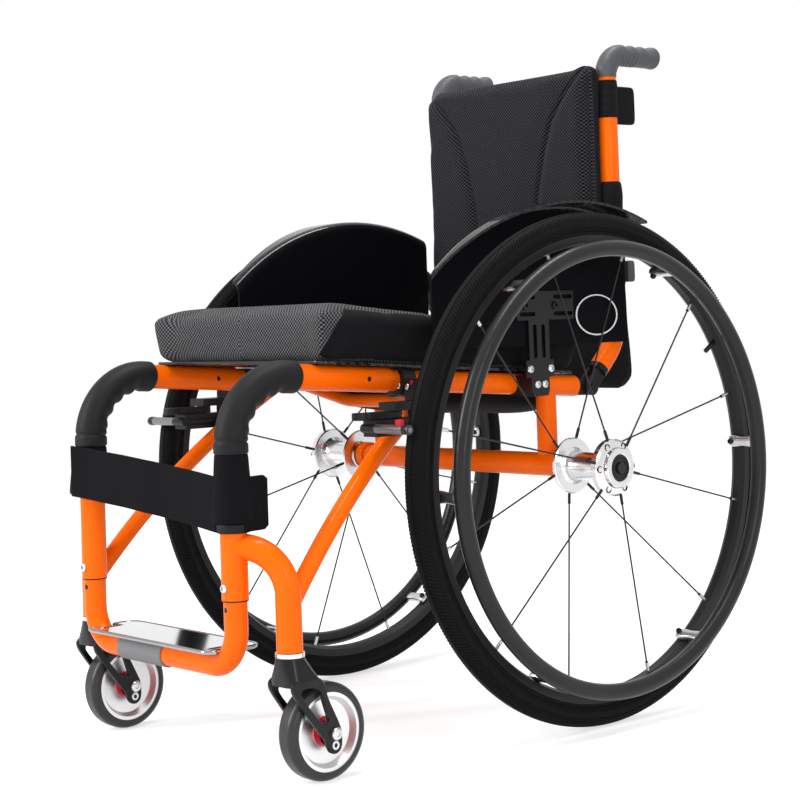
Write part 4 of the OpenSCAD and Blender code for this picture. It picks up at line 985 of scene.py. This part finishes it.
# back pad
padShape = {"half": 153.0, "low": 508.0, "top": 790.0, "rear": 115.7, "thick": 15.0, "bolster": 4.5,
            "corner": 22.0, "cell": 4.0, "cap": 5.0, "back": 0.35, "wall": 0.65, "inset": (2.0, 5.0, 6.0),
            "edge": 22.0, "slope": 16.0, "panel": (1.5, 40.0), "groove": 4.2, "grooveWide": 3.6,
            "cornerX": (118.0, 34.0), "cornerZ": (750.0, 30.0), "flare": (12.0, -4.0), "spread": 2.0,
            "wrap": 12.0, "wrapX": (124.0, 24.0), "wrapY": (-12.0, 9.0),
            "seamHeight": (500.0, 595.0, 628.0, 680.0, 721.0, 755.0, 772.0, 790.0),
            "seamOut": (47.0, 53.0, 58.0, 71.0, 86.0, 113.0, 132.0, 150.0)}


def makeBackPad(p):
    # rings of a rounded rectangle from the rear face round the edge to the front, puffed up; the front is
    # then raised into a middle panel and two bolsters that meet in a groove along the seam curve, and its
    # top corners are drawn out
    v = np.linspace(0, 1, 61)
    back, wall = p["back"], p["wall"]
    inWall = np.clip((v - back) / (wall - back), 0, 1)
    front = np.where(v < wall, 1.0, np.clip((1 - v) / (1 - wall), 0.002, 1))
    scale = np.where(v < back, np.clip(v / back, 0.002, 1), front)
    w, h = 2 * p["half"], p["top"] - p["low"]
    loop = roundedLoop(w, h, p["corner"], 240)
    skin, under, over = p["inset"]
    inset = skin + under * (1 - inWall) ** 2 + over * past(inWall, (0.4, 0.6)) ** 2
    half = np.array([w, h]) / 2
    size = (half - inset[:, None]) / half
    flat = loop[None] * size[:, None] * scale[:, None, None]
    depth = p["rear"] - 1 - p["thick"] * inWall[:, None] + 0 * flat[..., 0]
    grid = np.stack([flat[..., 0], depth, flat[..., 1] + (p["low"] + p["top"]) / 2], -1)
    obj = surface("backPad", grid, padMesh, "backrest", wrapV=True, capU=True)
    puffUp(obj, p["cell"], p["cap"])
    q = pointsOf(obj.data)
    q[:, 1] = np.minimum(q[:, 1], p["rear"])
    x, z = np.abs(q[:, 0]), q[:, 2]
    front = smooth((p["rear"] - 6 - q[:, 1]) / 6)
    toSeam = x - np.interp(z, p["seamHeight"], p["seamOut"])
    edge = smooth((p["half"] - x) / p["edge"])
    rise = p["bolster"] * smooth(toSeam / p["slope"]) * edge
    rise += p["panel"][0] * smooth(-toSeam / p["panel"][1])
    q[:, 1] -= front * (rise - p["groove"] * hump(toSeam, 0, p["grooveWide"]))
    corner = past(x, p["cornerX"]) * past(z, p["cornerZ"])
    q[:, 2] += np.where(q[:, 0] > 0, *p["flare"]) * corner
    rear = past(q[:, 1] - p["rear"], p["wrapY"]) * past(x, p["wrapX"])
    q[:, 0] += np.sign(q[:, 0]) * (p["spread"] * corner + p["wrap"] * rear)
    setPoints(obj, q)
    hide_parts("back_upholstery")


makeBackPad(padShape)
bandShape = {"inner": 12.7, "outer": (15.4, 13.9), "x": 151.12, "y": 130.0,
             "spans": ((508.0, 639.0), (719.0, 766.0)), "wave": (0.25, 31.0)}
backTabShape = {"low": (149.6, 141.0, 712.0), "high": (152.6, 179.0, 760.0), "out": 2.0,
                "from": (146.0, 30.0)}


def makeBands(b, t):
    # fabric sleeves on the canes: ring sections with rounded rims, slightly wavy; a loose tab behind each
    for side, sign in sides.items():
        for k, (low, high) in enumerate(b["spans"]):
            s = np.linspace(0, 1, 40)
            puff = (1 - np.abs(2 * s - 1) ** 14) ** 0.5 * (b["outer"][k] - b["inner"])
            puff += b["wave"][0] * np.sin(s * b["wave"][1] + k)
            outside = np.stack([b["inner"] + np.clip(puff, 0.2, 4), low + (high - low) * s], 1)
            inside = np.array([[b["inner"], high], [b["inner"], low]])
            grid = lathe(np.concatenate([outside, inside]), 64, (b["x"], b["y"], 0), (0, 0, 1))
            surface("%sCaneBand%d" % (side, k + 1), mirrored(grid, sign), blackCloth, "backrest",
                    True, True)
        grid = slabGrid(t["low"], t["high"], 0.25, 0.3)
        grid[..., 0] += t["out"] * past(grid[..., 1], t["from"])
        surface(side + "BackTab", mirrored(grid, sign), blackCloth, "backrest", wrapV=True,
                capU=True)


makeBands(bandShape, backTabShape)
slingShape = {"low": 380.0, "top": 560.0, "front": 147.0, "half": 147.0, "middle": 200.0,
              "edgeHeight": (380.0, 394.0, 447.0, 511.0, 560.0),
              "edgeRear": (166.0, 171.0, 163.0, 158.0, 157.0), "tuck": (0.07, 30.0), "bulge": 0.7,
              "flatten": (470.0, 90.0), "ripple": 0.8, "waves": (19.0, 31.0, 17.0),
              "blockLow": (141.0, 158.0, 514.0), "blockHigh": (151.5, 172.0, 541.0)}


def makeSling(s):
    # a hanging fabric panel: at each height a flat loop whose front lies on the canes and whose rear bulges
    # in the middle; the loops shrink to the panel's rounded hem and top
    v = np.linspace(-1, 1, 61)[:, None]
    a = roundSteps(120)[None]
    close = (1 - np.abs(v) ** 10) ** 0.5 * 0.998 + 0.002
    z = (s["low"] + s["top"]) / 2 + (s["top"] - s["low"]) / 2 * v
    corner = 1 - s["tuck"][0] * smooth((s["low"] + s["tuck"][1] - z) / s["tuck"][1]) ** 2
    x = s["half"] * power(np.cos(a), 0.5) * corner * (0.9 + 0.1 * close)
    across = np.clip(1 - (x / s["half"]) ** 2, 0, 1)
    edge = np.interp(z, s["edgeHeight"], s["edgeRear"])
    rear = edge + (s["middle"] - edge) * across ** s["bulge"] * (1 - 0.3 * past(z, s["flatten"]))
    mid, deep = (rear + s["front"]) / 2, (rear - s["front"]) / 2
    wide, tall, fine = s["waves"]
    ripple = s["ripple"] * np.sin(x / wide + z / tall) * np.sin(z / fine)
    y = mid + deep * close * power(np.sin(a), 0.4) + ripple * (np.sin(a) > 0)
    obj = surface("backSling", np.stack([x, y, z + 0 * a], -1), blackCloth, "backrest",
                  wrapV=True, capU=True)
    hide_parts("back_sling")
    for side, sign in sides.items():
        grid = slabGrid(s["blockLow"], s["blockHigh"], 0.3, 0.35)
        surface(side + "SlingBlock", mirrored(grid, sign), gripRubber, "backrest", wrapV=True,
                capU=True)


makeSling(slingShape)
print("backrest padded")

# foam grips over the front bends
frameShape = {"x": 149.0, "z": 392.0, "splay": 1.6, "slope": 4.0, "legY": 457.0, "bend": 70.0}
foamShape = {"radius": 18.6, "back": 12.0, "down": 8.0, "dent": 3.0, "pitch": 23.0, "hollow": 14.6,
             "first": 16.0, "fingersFrom": (12.0, 8.0), "fingersTo": (18.0, 6.0), "skin": 0.6,
             "collar": 13.0}


def bendPath(f, g, count):
    # seat rail, bend and leg in the side plane: a straight run, an arc and a straight run, evenly spaced
    legT = f["legY"] / math.cos(math.radians(f["splay"]))
    a = math.radians(f["slope"])
    runT = (legT - f["bend"] - f["bend"] * math.sin(a)) / math.cos(a)
    start = np.array([-(runT - g["back"]) * math.cos(a), (runT - g["back"]) * math.sin(a)])
    mid = np.array([f["bend"] - legT, runT * math.sin(a) - f["bend"] * math.cos(a)])
    t = np.linspace(np.pi / 2 - a, np.pi, 80)
    arc = mid + f["bend"] * np.stack([np.cos(t), np.sin(t)], 1)
    way, far = evenly(np.concatenate([start[None], arc, [[-legT, mid[1] - g["down"]]]]), count)
    s = math.radians(f["splay"])
    return np.stack([f["x"] + way[:, 0] * math.sin(s), way[:, 0] * math.cos(s), f["z"] + way[:, 1]], 1), far


def makeFoamGrips(f, g):
    # a tube along the bend, dented by finger places on its inside, with a rounded rim and a thicker foot
    path, far = bendPath(f, g, 150)
    s = math.radians(f["splay"])
    normal = np.array([math.cos(s), -math.sin(s), 0.0])
    steps = 56
    inside = np.clip(np.sin(roundSteps(steps)) * -1.0, 0, 1) ** 0.8
    end = far[-1]
    fingers = 0.5 - 0.5 * np.cos(2 * np.pi * (far - g["first"]) / g["pitch"])
    fingers *= past(far, g["fingersFrom"]) * past(end - far, g["fingersTo"])
    rim = 3.2 * (1 - smooth(far / 5.0)) ** 2 + 2.0 * (1 - smooth((end - far) / 2.5)) ** 2
    foot = end - g["collar"]
    collar = 0.5 * past(far, (foot, 1.5)) - 1.2 * hump(far, foot - 0.5, 1.6)
    radius = g["radius"] - g["skin"] + (collar - rim)[:, None] - g["dent"] * fingers[:, None] * inside[None]
    radius = np.maximum(radius, g["hollow"])
    for side, sign in sides.items():
        grid = mirrored(tubeAlong(path, normal, radius, steps), sign)
        obj = surface(side + "FoamGrip", grid, blackFoam, "frame", wrapV=True, capU=True)
        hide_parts(side + "_bend_grip")


makeFoamGrips(frameShape, foamShape)
print("foam grips made")

# push grips
pushShape = {"x": 151.12, "y": 130.0, "z": 800.0, "bend": 28.0, "start": 770.0, "end": 64.0, "radius": 13.4,
             "rib": (7.0, 1.2), "ribFrom": (4.0, 8.0), "ribTo": (34.0, 10.0), "hold": (44.0, 19.0),
             "holdDeep": 2.0, "holdFrom": (40.0, 10.0), "holdTo": (6.0, 8.0)}


def makePushGrips(g):
    # a tube up and back along the handle, ribbed on its outside, scalloped below and swollen at its end
    t = np.linspace(0, np.pi / 2, 60)
    bend, y, z = g["bend"], g["y"] + g["bend"], g["z"] - g["bend"]
    arc = np.stack([y - bend * np.cos(t), z + bend * np.sin(t)], 1)
    way, at = evenly(np.concatenate([[[g["y"], g["start"]]], arc, [[y + g["end"], g["z"]]]]), 240)
    path = np.stack([np.full(len(at), g["x"]), way[:, 0], way[:, 1]], 1)
    steps = 48
    turn = roundSteps(steps)
    topside = np.clip(np.sin(turn), 0, 1)[None]
    under = np.clip(-np.sin(turn), 0, 1)[None]
    end = at[-1]
    ribs = np.abs(np.sin(np.pi * at / g["rib"][0])) ** 0.7 - 0.5
    ribs *= g["rib"][1] * past(at, g["ribFrom"]) * past(end - at, g["ribTo"])
    holds = 0.5 - 0.5 * np.cos(2 * np.pi * (at - g["hold"][0]) / g["hold"][1])
    holds *= g["holdDeep"] * past(at, g["holdFrom"]) * past(end - at, g["holdTo"])
    tip = 0.7 * hump(at, end - 5, 5.0) - 3.5 * (1 - smooth((end - at) / 4.0)) ** 2
    radius = g["radius"] + tip[:, None] + ribs[:, None] * topside ** 0.5 - holds[:, None] * under
    for side, sign in sides.items():
        grid = mirrored(tubeAlong(path, (1.0, 0, 0), radius, steps), sign)
        obj = surface(side + "HandGrip", grid, gripRubber, "backrest", wrapV=True, capU=True)
        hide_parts(side + "_push_grip")


makePushGrips(pushShape)
print("push grips made")

# calf strap
strapShape = {"x": 136.23, "y": -457.0, "low": 269.0, "high": 344.0, "inner": 14.6, "topOut": 17.8,
              "footOut": 23.0, "farLow": 284.0, "farHigh": 342.0, "farLoop": (9.0, 20.0), "middle": 301.0,
              "tilt": 0.085, "bandHalf": 29.0, "flap": (261.0, 318.0), "flapLength": 36.0, "off": 17.4,
              "bow": 7.0, "thick": (1.5, 1.4), "square": 0.12, "skin": 15.5}


def makeStrap(s):
    # a conical sleeve round the near leg with a collar under it, a wide loop round the far leg, a tilted
    # band between them that bows a little, and a loose end
    t = np.linspace(0, 1, 40)
    for side, sign in sides.items():
        low, high = (s["low"], s["high"]) if side == "left" else (s["farLow"], s["farHigh"])
        slope = (s["footOut"] - s["topOut"]) * (1.0 if side == "left" else 0.1)
        wall = s["topOut"] + slope * (1 - t) ** 1.2
        rim = (1 - np.abs(2 * t - 1) ** 16) ** 0.5
        outside = np.stack([s["inner"] + 0.3 + rim * (wall - s["inner"] - 0.3), low + (high - low) * t], 1)
        inside = np.array([[s["inner"], high], [s["inner"], low]])
        grid = lathe(np.concatenate([outside, inside]), 72, (s["x"], s["y"], 0), (0, 0, 1))
        if side == "right":
            out = (grid[..., 0] - s["x"]) / s["topOut"]
            loop = np.interp(grid[..., 2], (low, high), s["farLoop"][::-1])
            outer = np.hypot(grid[..., 0] - s["x"], grid[..., 1] - s["y"]) > s["skin"]
            grid[..., 0] += loop * smooth(out) * outer
        surface(side + "CalfSleeve", mirrored(grid, sign), strapCloth, "frame",
                             True, True)
    low = s["low"]
    collar = [(14.6, low - 9), (17.4, low - 9), (18.4, low - 8), (18.8, low - 1), (18.0, low + 0.5),
              (14.6, low + 0.5)]
    grid = lathe(collar, 72, (s["x"], s["y"], 0), (0, 0, 1))
    surface("calfCollar", grid, blackFoam, "frame", True, True, crease=50)
    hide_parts("calf_strap")
    x = np.linspace(-s["x"] - 12, s["x"] - 6, 100)[:, None]
    b = roundSteps(64)[None]
    bow = s["bow"] * np.clip(1 - (x / s["x"]) ** 2, -0.2, 1) + 0.4 * np.sin(x / 11.0)
    deep, tall = power(np.cos(b), s["square"]), power(np.sin(b), s["square"])
    grid = np.stack([x + 0 * b, s["y"] - s["off"] + bow + s["thick"][0] * deep,
                     s["middle"] - s["tilt"] * x + s["bandHalf"] * tall], -1)
    surface("calfBand", grid, strapCloth, "frame", wrapV=True, capU=True, crease=50)
    y = np.linspace(0, s["flapLength"], 40)[:, None]
    low, high = s["flap"]
    tip = 1 - 0.12 * smooth((y - s["flapLength"] + 8) / 8) ** 2
    stitch = -0.5 * hump(y, s["flapLength"] - 8, 1.0) * (np.cos(b) > 0)
    x = s["x"] + s["off"] - 5.0 * smooth(y / 40.0) + (s["thick"][1] + stitch) * deep
    grid = np.stack([x, s["y"] + y + 0 * b, (low + high) / 2 + (high - low) / 2 * tip * tall], -1)
    surface("calfFlap", grid, strapCloth, "frame", wrapV=True, capU=True, crease=50)


makeStrap(strapShape)

# pouch under the seat
pouchShape = {"width": 259.0, "length": 149.0, "mid": -31.0, "top": 13.0, "low": -36.0, "corner": 22.0,
              "lid": 0.25, "tuckFrom": 0.6, "wave": 21.0}


def makePouch(p):
    # rings of a rounded rectangle from the flat top down, drawn in towards a sagging base
    v = np.linspace(0, 1, 41)
    loop = roundedLoop(p["width"], p["length"], p["corner"], 160)
    lid, tuck = p["lid"], p["tuckFrom"]
    lower = np.cos(np.clip((v - tuck) / (1 - tuck), 0, 1) * np.pi / 2) ** 0.6 * 0.998 + 0.002
    scale = np.where(v < lid, np.clip(v / lid, 0.002, 1), lower)
    fall = np.where(v < lid, 0.0, np.sin(np.clip((v - lid) / (1 - lid), 0, 1) * np.pi / 2))
    flat = loop[None] * scale[:, None, None]
    z = p["top"] + (p["low"] - p["top"] + np.sin(flat[..., 0] / p["wave"])) * fall[:, None]
    q = np.stack([flat[..., 0], flat[..., 1] + p["mid"], np.broadcast_to(z, flat.shape[:2])], -1)
    obj = surface("underSeatPouch", seatToRow(q, cushionShape), blackCloth, "frame",
                  wrapV=True, capU=True)
    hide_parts("seat_pouch")


makePouch(pouchShape)
print("soft pieces made")

# fasteners and trim
boltShape = {"face": 184.0, "arm": ((-62.0, 487.0), (-12.0, 487.0)),
             "foot": ((-57.0, 413.0), (-23.0, 413.0)), "lug": ((-46.0, 394.8), (-34.0, 394.8)),
             "leg": (136.23, -471.3, 203.0), "head": (4.9, 3.0), "legHead": (4.8, 2.6)}
badgeShape = {"x": 182.0, "y": 63.0, "z": 474.0, "radius": 24.0, "tube": 0.9, "long": 1.5}
stepShape = {"half": 122.4, "front": -24.2, "back": 43.2, "corner": 17.0, "notchX": 103.4, "notchY": 14.4,
             "z": 135.7, "legY": -457.0, "rod": 2.3}
lockShape = {"capX": (234.0, 244.5), "barY": -301.7, "barZ": 359.0, "redLow": (223.5, -305.0, 362.5),
             "redHigh": (232.0, -298.5, 369.8), "faceY": -235.0,
             "clampBolts": ((153.5, 402.0), (168.0, 401.0)), "redScrew": (175.0, 405.5),
             "clampHead": (3.6, 2.4), "redHead": (2.6, 1.6)}
casterShape = {"x": 187.0, "y": -388.0, "z": 51.0, "head": 25.0, "headSize": (6.2, 2.4), "arm": 22.0,
               "bush": 39.0}
forkShape = {"armIn": 16.0, "armOut": 22.0, "edge": 1.2, "stem": -39.0, "top": 82.0, "low": 53.0,
             "neck": 15.0, "wide": 22.6, "front": -54.0, "back": -13.0,
             "outline": ((-9.2, -12), (-8.6, -17), (-5, -20.6), (0, -21.6), (5, -20.6), (8.6, -17),
                         (9.4, -12), (9.6, 0), (6.5, 9), (-6, 34), (-13, 57), (-20, 60.5), (-33, 61.5),
                         (-47, 60.5), (-53, 57), (-54, 52), (-51, 45), (-42, 32), (-30, 16), (-19, 2),
                         (-11, -7)),
             "window": ((-7.8, 14), (-7.4, 18), (-11.5, 29), (-16, 42), (-19, 48), (-28, 50.5), (-39, 50.5),
                        (-43.5, 48), (-42.5, 44), (-33.5, 33), (-22.5, 19.5), (-13, 11))}


def makeBolts(b):
    # dark heads on each bracket's arm, bright ones on its foot and its lug, and a screw on each leg
    dark, bright = [], []
    for sign in sides.values():
        dark += [(sign * b["face"], y, z) for y, z in b["arm"]]
        bright += [(sign * b["face"], y, z) for y, z in b["foot"] + b["lug"]]
    outs = [np.sign(np.array(p)) * (1, 0, 0) for p in bright]
    obj = socketHeads("footBolts", bright, outs, *b["head"], steelBolt, "frame", "bolt_steel")
    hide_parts("frame_bolts")
    outs = [np.sign(np.array(p)) * (1, 0, 0) for p in dark]
    socketHeads("armBolts", dark, outs, *b["head"], satinBlack, "frame", "bracket_black")
    x, y, z = b["leg"]
    socketHeads("legScrews", [(x, y, z), (-x, y, z)], [(0, -1, 0)] * 2, *b["legHead"], steelBolt, "frame",
                "bolt_steel")


def makeBadgeRings(b):
    # a thin flattened ring round the bare badge on each guard, drawn out along the chair
    a = roundSteps(12)
    section = np.stack([b["radius"] + b["tube"] * np.cos(a), 0.5 * b["tube"] * np.sin(a)], 1)
    for side, sign in sides.items():
        ring = lathe(section, 96, (b["x"] + 0.25, 0, b["z"]), wheelAxis)
        grid = ring * (1.0, b["long"], 1.0) + (0, b["y"], 0)
        surface(side + "BadgeRing", mirrored(grid, sign), badgeWhite, "frame", True, True)


def makeStepTrim(s):
    # a bright rod round the footplate: a circle along its outline with two notches and eased corners
    t = np.linspace(0, np.pi / 2, 20)
    cx, r = s["half"] - s["corner"], s["corner"]
    cy = s["front"] + r
    low = math.asin((-s["notchY"] - cy) / r)
    a = np.linspace(-np.pi / 2, low, 20)
    nearArc = np.stack([cx + r * np.cos(a), cy + r * np.sin(a)], 1)
    farArc = np.stack([cx + r * np.cos(t), s["back"] - r + r * np.sin(t)], 1)
    notch = np.array([[s["notchX"], -s["notchY"]], [s["notchX"], s["notchY"]], [s["half"], s["notchY"]]])
    one = np.concatenate([nearArc, notch, farArc])
    loop = easedLoop(np.concatenate([one, one[::-1] * (-1, 1)]), 720, 3)
    path = np.stack([loop[:, 0], loop[:, 1] + s["legY"], np.full(len(loop), s["z"])], 1)
    grid = tubeAlong(path, (0.0, 0, 1.0), s["rod"], 16, True)
    obj = surface("stepRod", grid, chrome, "footrest", True, True)
    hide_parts("footplate_trim")


def makeLockDetails(s):
    # on each wheel lock: a cap on the bar's end and screws on the clamp's face; red pieces on the left
    for side, sign in sides.items():
        low, high = s["capX"]
        cap = [(0.05, low), (5.0, low), (5.4, low + 0.8), (5.4, high - 2), (4.8, high - 0.4), (3.4, high),
               (3.0, high - 1.2), (0.05, high - 1.2)]
        grid = lathe(cap, 40, (0, s["barY"], s["barZ"]), (1, 0, 0))
        surface(side + "BarCap", mirrored(grid, sign), capBlack, side + "_lock_shoe",
                wrapU=True, capV=True, crease=30)
        spots = [(x, s["faceY"], z) for x, z in s["clampBolts"]]
        socketHeads(side + "ClampBolts", mirrored(spots, sign), [(0, -1, 0)] * 2, *s["clampHead"], steelBolt,
                    "frame", "bolt_steel")
    grid = slabGrid(s["redLow"], s["redHigh"], 0.3, 0.35)
    surface("redBlock", grid, redPlastic, "left_lock_shoe", wrapV=True, capU=True)
    x, z = s["redScrew"]
    socketHeads("redScrew", [(x, s["faceY"], z)], [(0, -1, 0)], *s["redHead"], redPlastic, "frame",
                "lock_grey")


def makeCasterDetails(c):
    # on each fork: socket heads on the axle bolt and a bright bush in the lower hole of each arm
    for side, sign in sides.items():
        ways = np.array([1.0, -1.0])
        spots = [(c["x"] + w * c["head"], c["y"], c["z"]) for w in ways]
        outs = [(w * sign, 0, 0) for w in ways]
        body = side + "_swivel"
        socketHeads(side + "ForkBolts", mirrored(spots, sign), outs, *c["headSize"], casterPin, body,
                    "caster_silver")
        ring = [(2.1, -1.5), (4.7, -1.5), (4.7, 0.5), (4.2, 0.9), (2.6, 0.9), (2.1, 0.5)]
        spots = [(c["x"] + w * c["arm"], c["y"], c["bush"]) for w in ways]
        grid = np.stack([lathe(ring, 32, spot, (w, 0, 0)) for spot, w in zip(spots, ways)])
        surface(side + "ForkBushes", mirrored(grid, sign), steelBolt, body, True, True,
                crease=30)


def makeForks(c, f):
    # each arm is a rim between an outline and a window, chamfered all round; the crown is a loft from a
    # long rounded oval over the wheel, narrowing evenly to the round neck
    outer, inner = easedLoop(f["outline"], 160, 3), easedLoop(f["window"], 160, 4)
    start = np.argmin(np.linalg.norm(inner - outer[0], axis=1))
    inner = np.roll(inner, -start, 0)
    e, low, high = f["edge"], f["armIn"], f["armOut"]
    way = unit(outer - inner)
    rows = [(outer - e * way, low), (outer, low + e), (outer, high - e), (outer - e * way, high),
            (inner + e * way, high), (inner, high - e), (inner, low + e), (inner + e * way, low)]
    arm = np.stack([np.column_stack([np.full(len(p), x), p]) for p, x in rows], 1)
    place = np.array([c["x"], c["y"], c["z"]])
    v = np.linspace(0, 1, 30)[:, None]
    a = roundSteps(72)[None]
    flare = np.clip((0.95 - v) / 0.75, 0, 1)
    wide = f["neck"] + (f["wide"] - f["neck"]) * flare
    middle = f["stem"] + ((f["front"] + f["back"]) / 2 - f["stem"]) * flare
    stretch = f["neck"] + ((f["back"] - f["front"]) / 2 - f["neck"]) * flare
    square = 1 - 0.45 * flare
    crown = np.stack([wide * power(np.cos(a), square), middle + stretch * power(np.sin(a), square),
                      f["low"] + (f["top"] - f["low"]) * v + 0 * a], -1)
    for side, sign in sides.items():
        body = side + "_swivel"
        grid = np.stack([place + arm, place + mirrored(arm, -1.0)[::-1]])
        surface(side + "ForkArms", mirrored(grid, sign), satinBlack, body, True, True,
                crease=35)
        obj = surface(side + "ForkCrown", mirrored(place + crown, sign), satinBlack, body,
                      wrapV=True, capU=True, crease=50)
        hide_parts(side + "_caster_fork")


makeForks(casterShape, forkShape)
makeBolts(boltShape)
makeBadgeRings(badgeShape)
makeStepTrim(stepShape)
makeLockDetails(lockShape)
makeCasterDetails(casterShape)
print("fasteners and trim made")
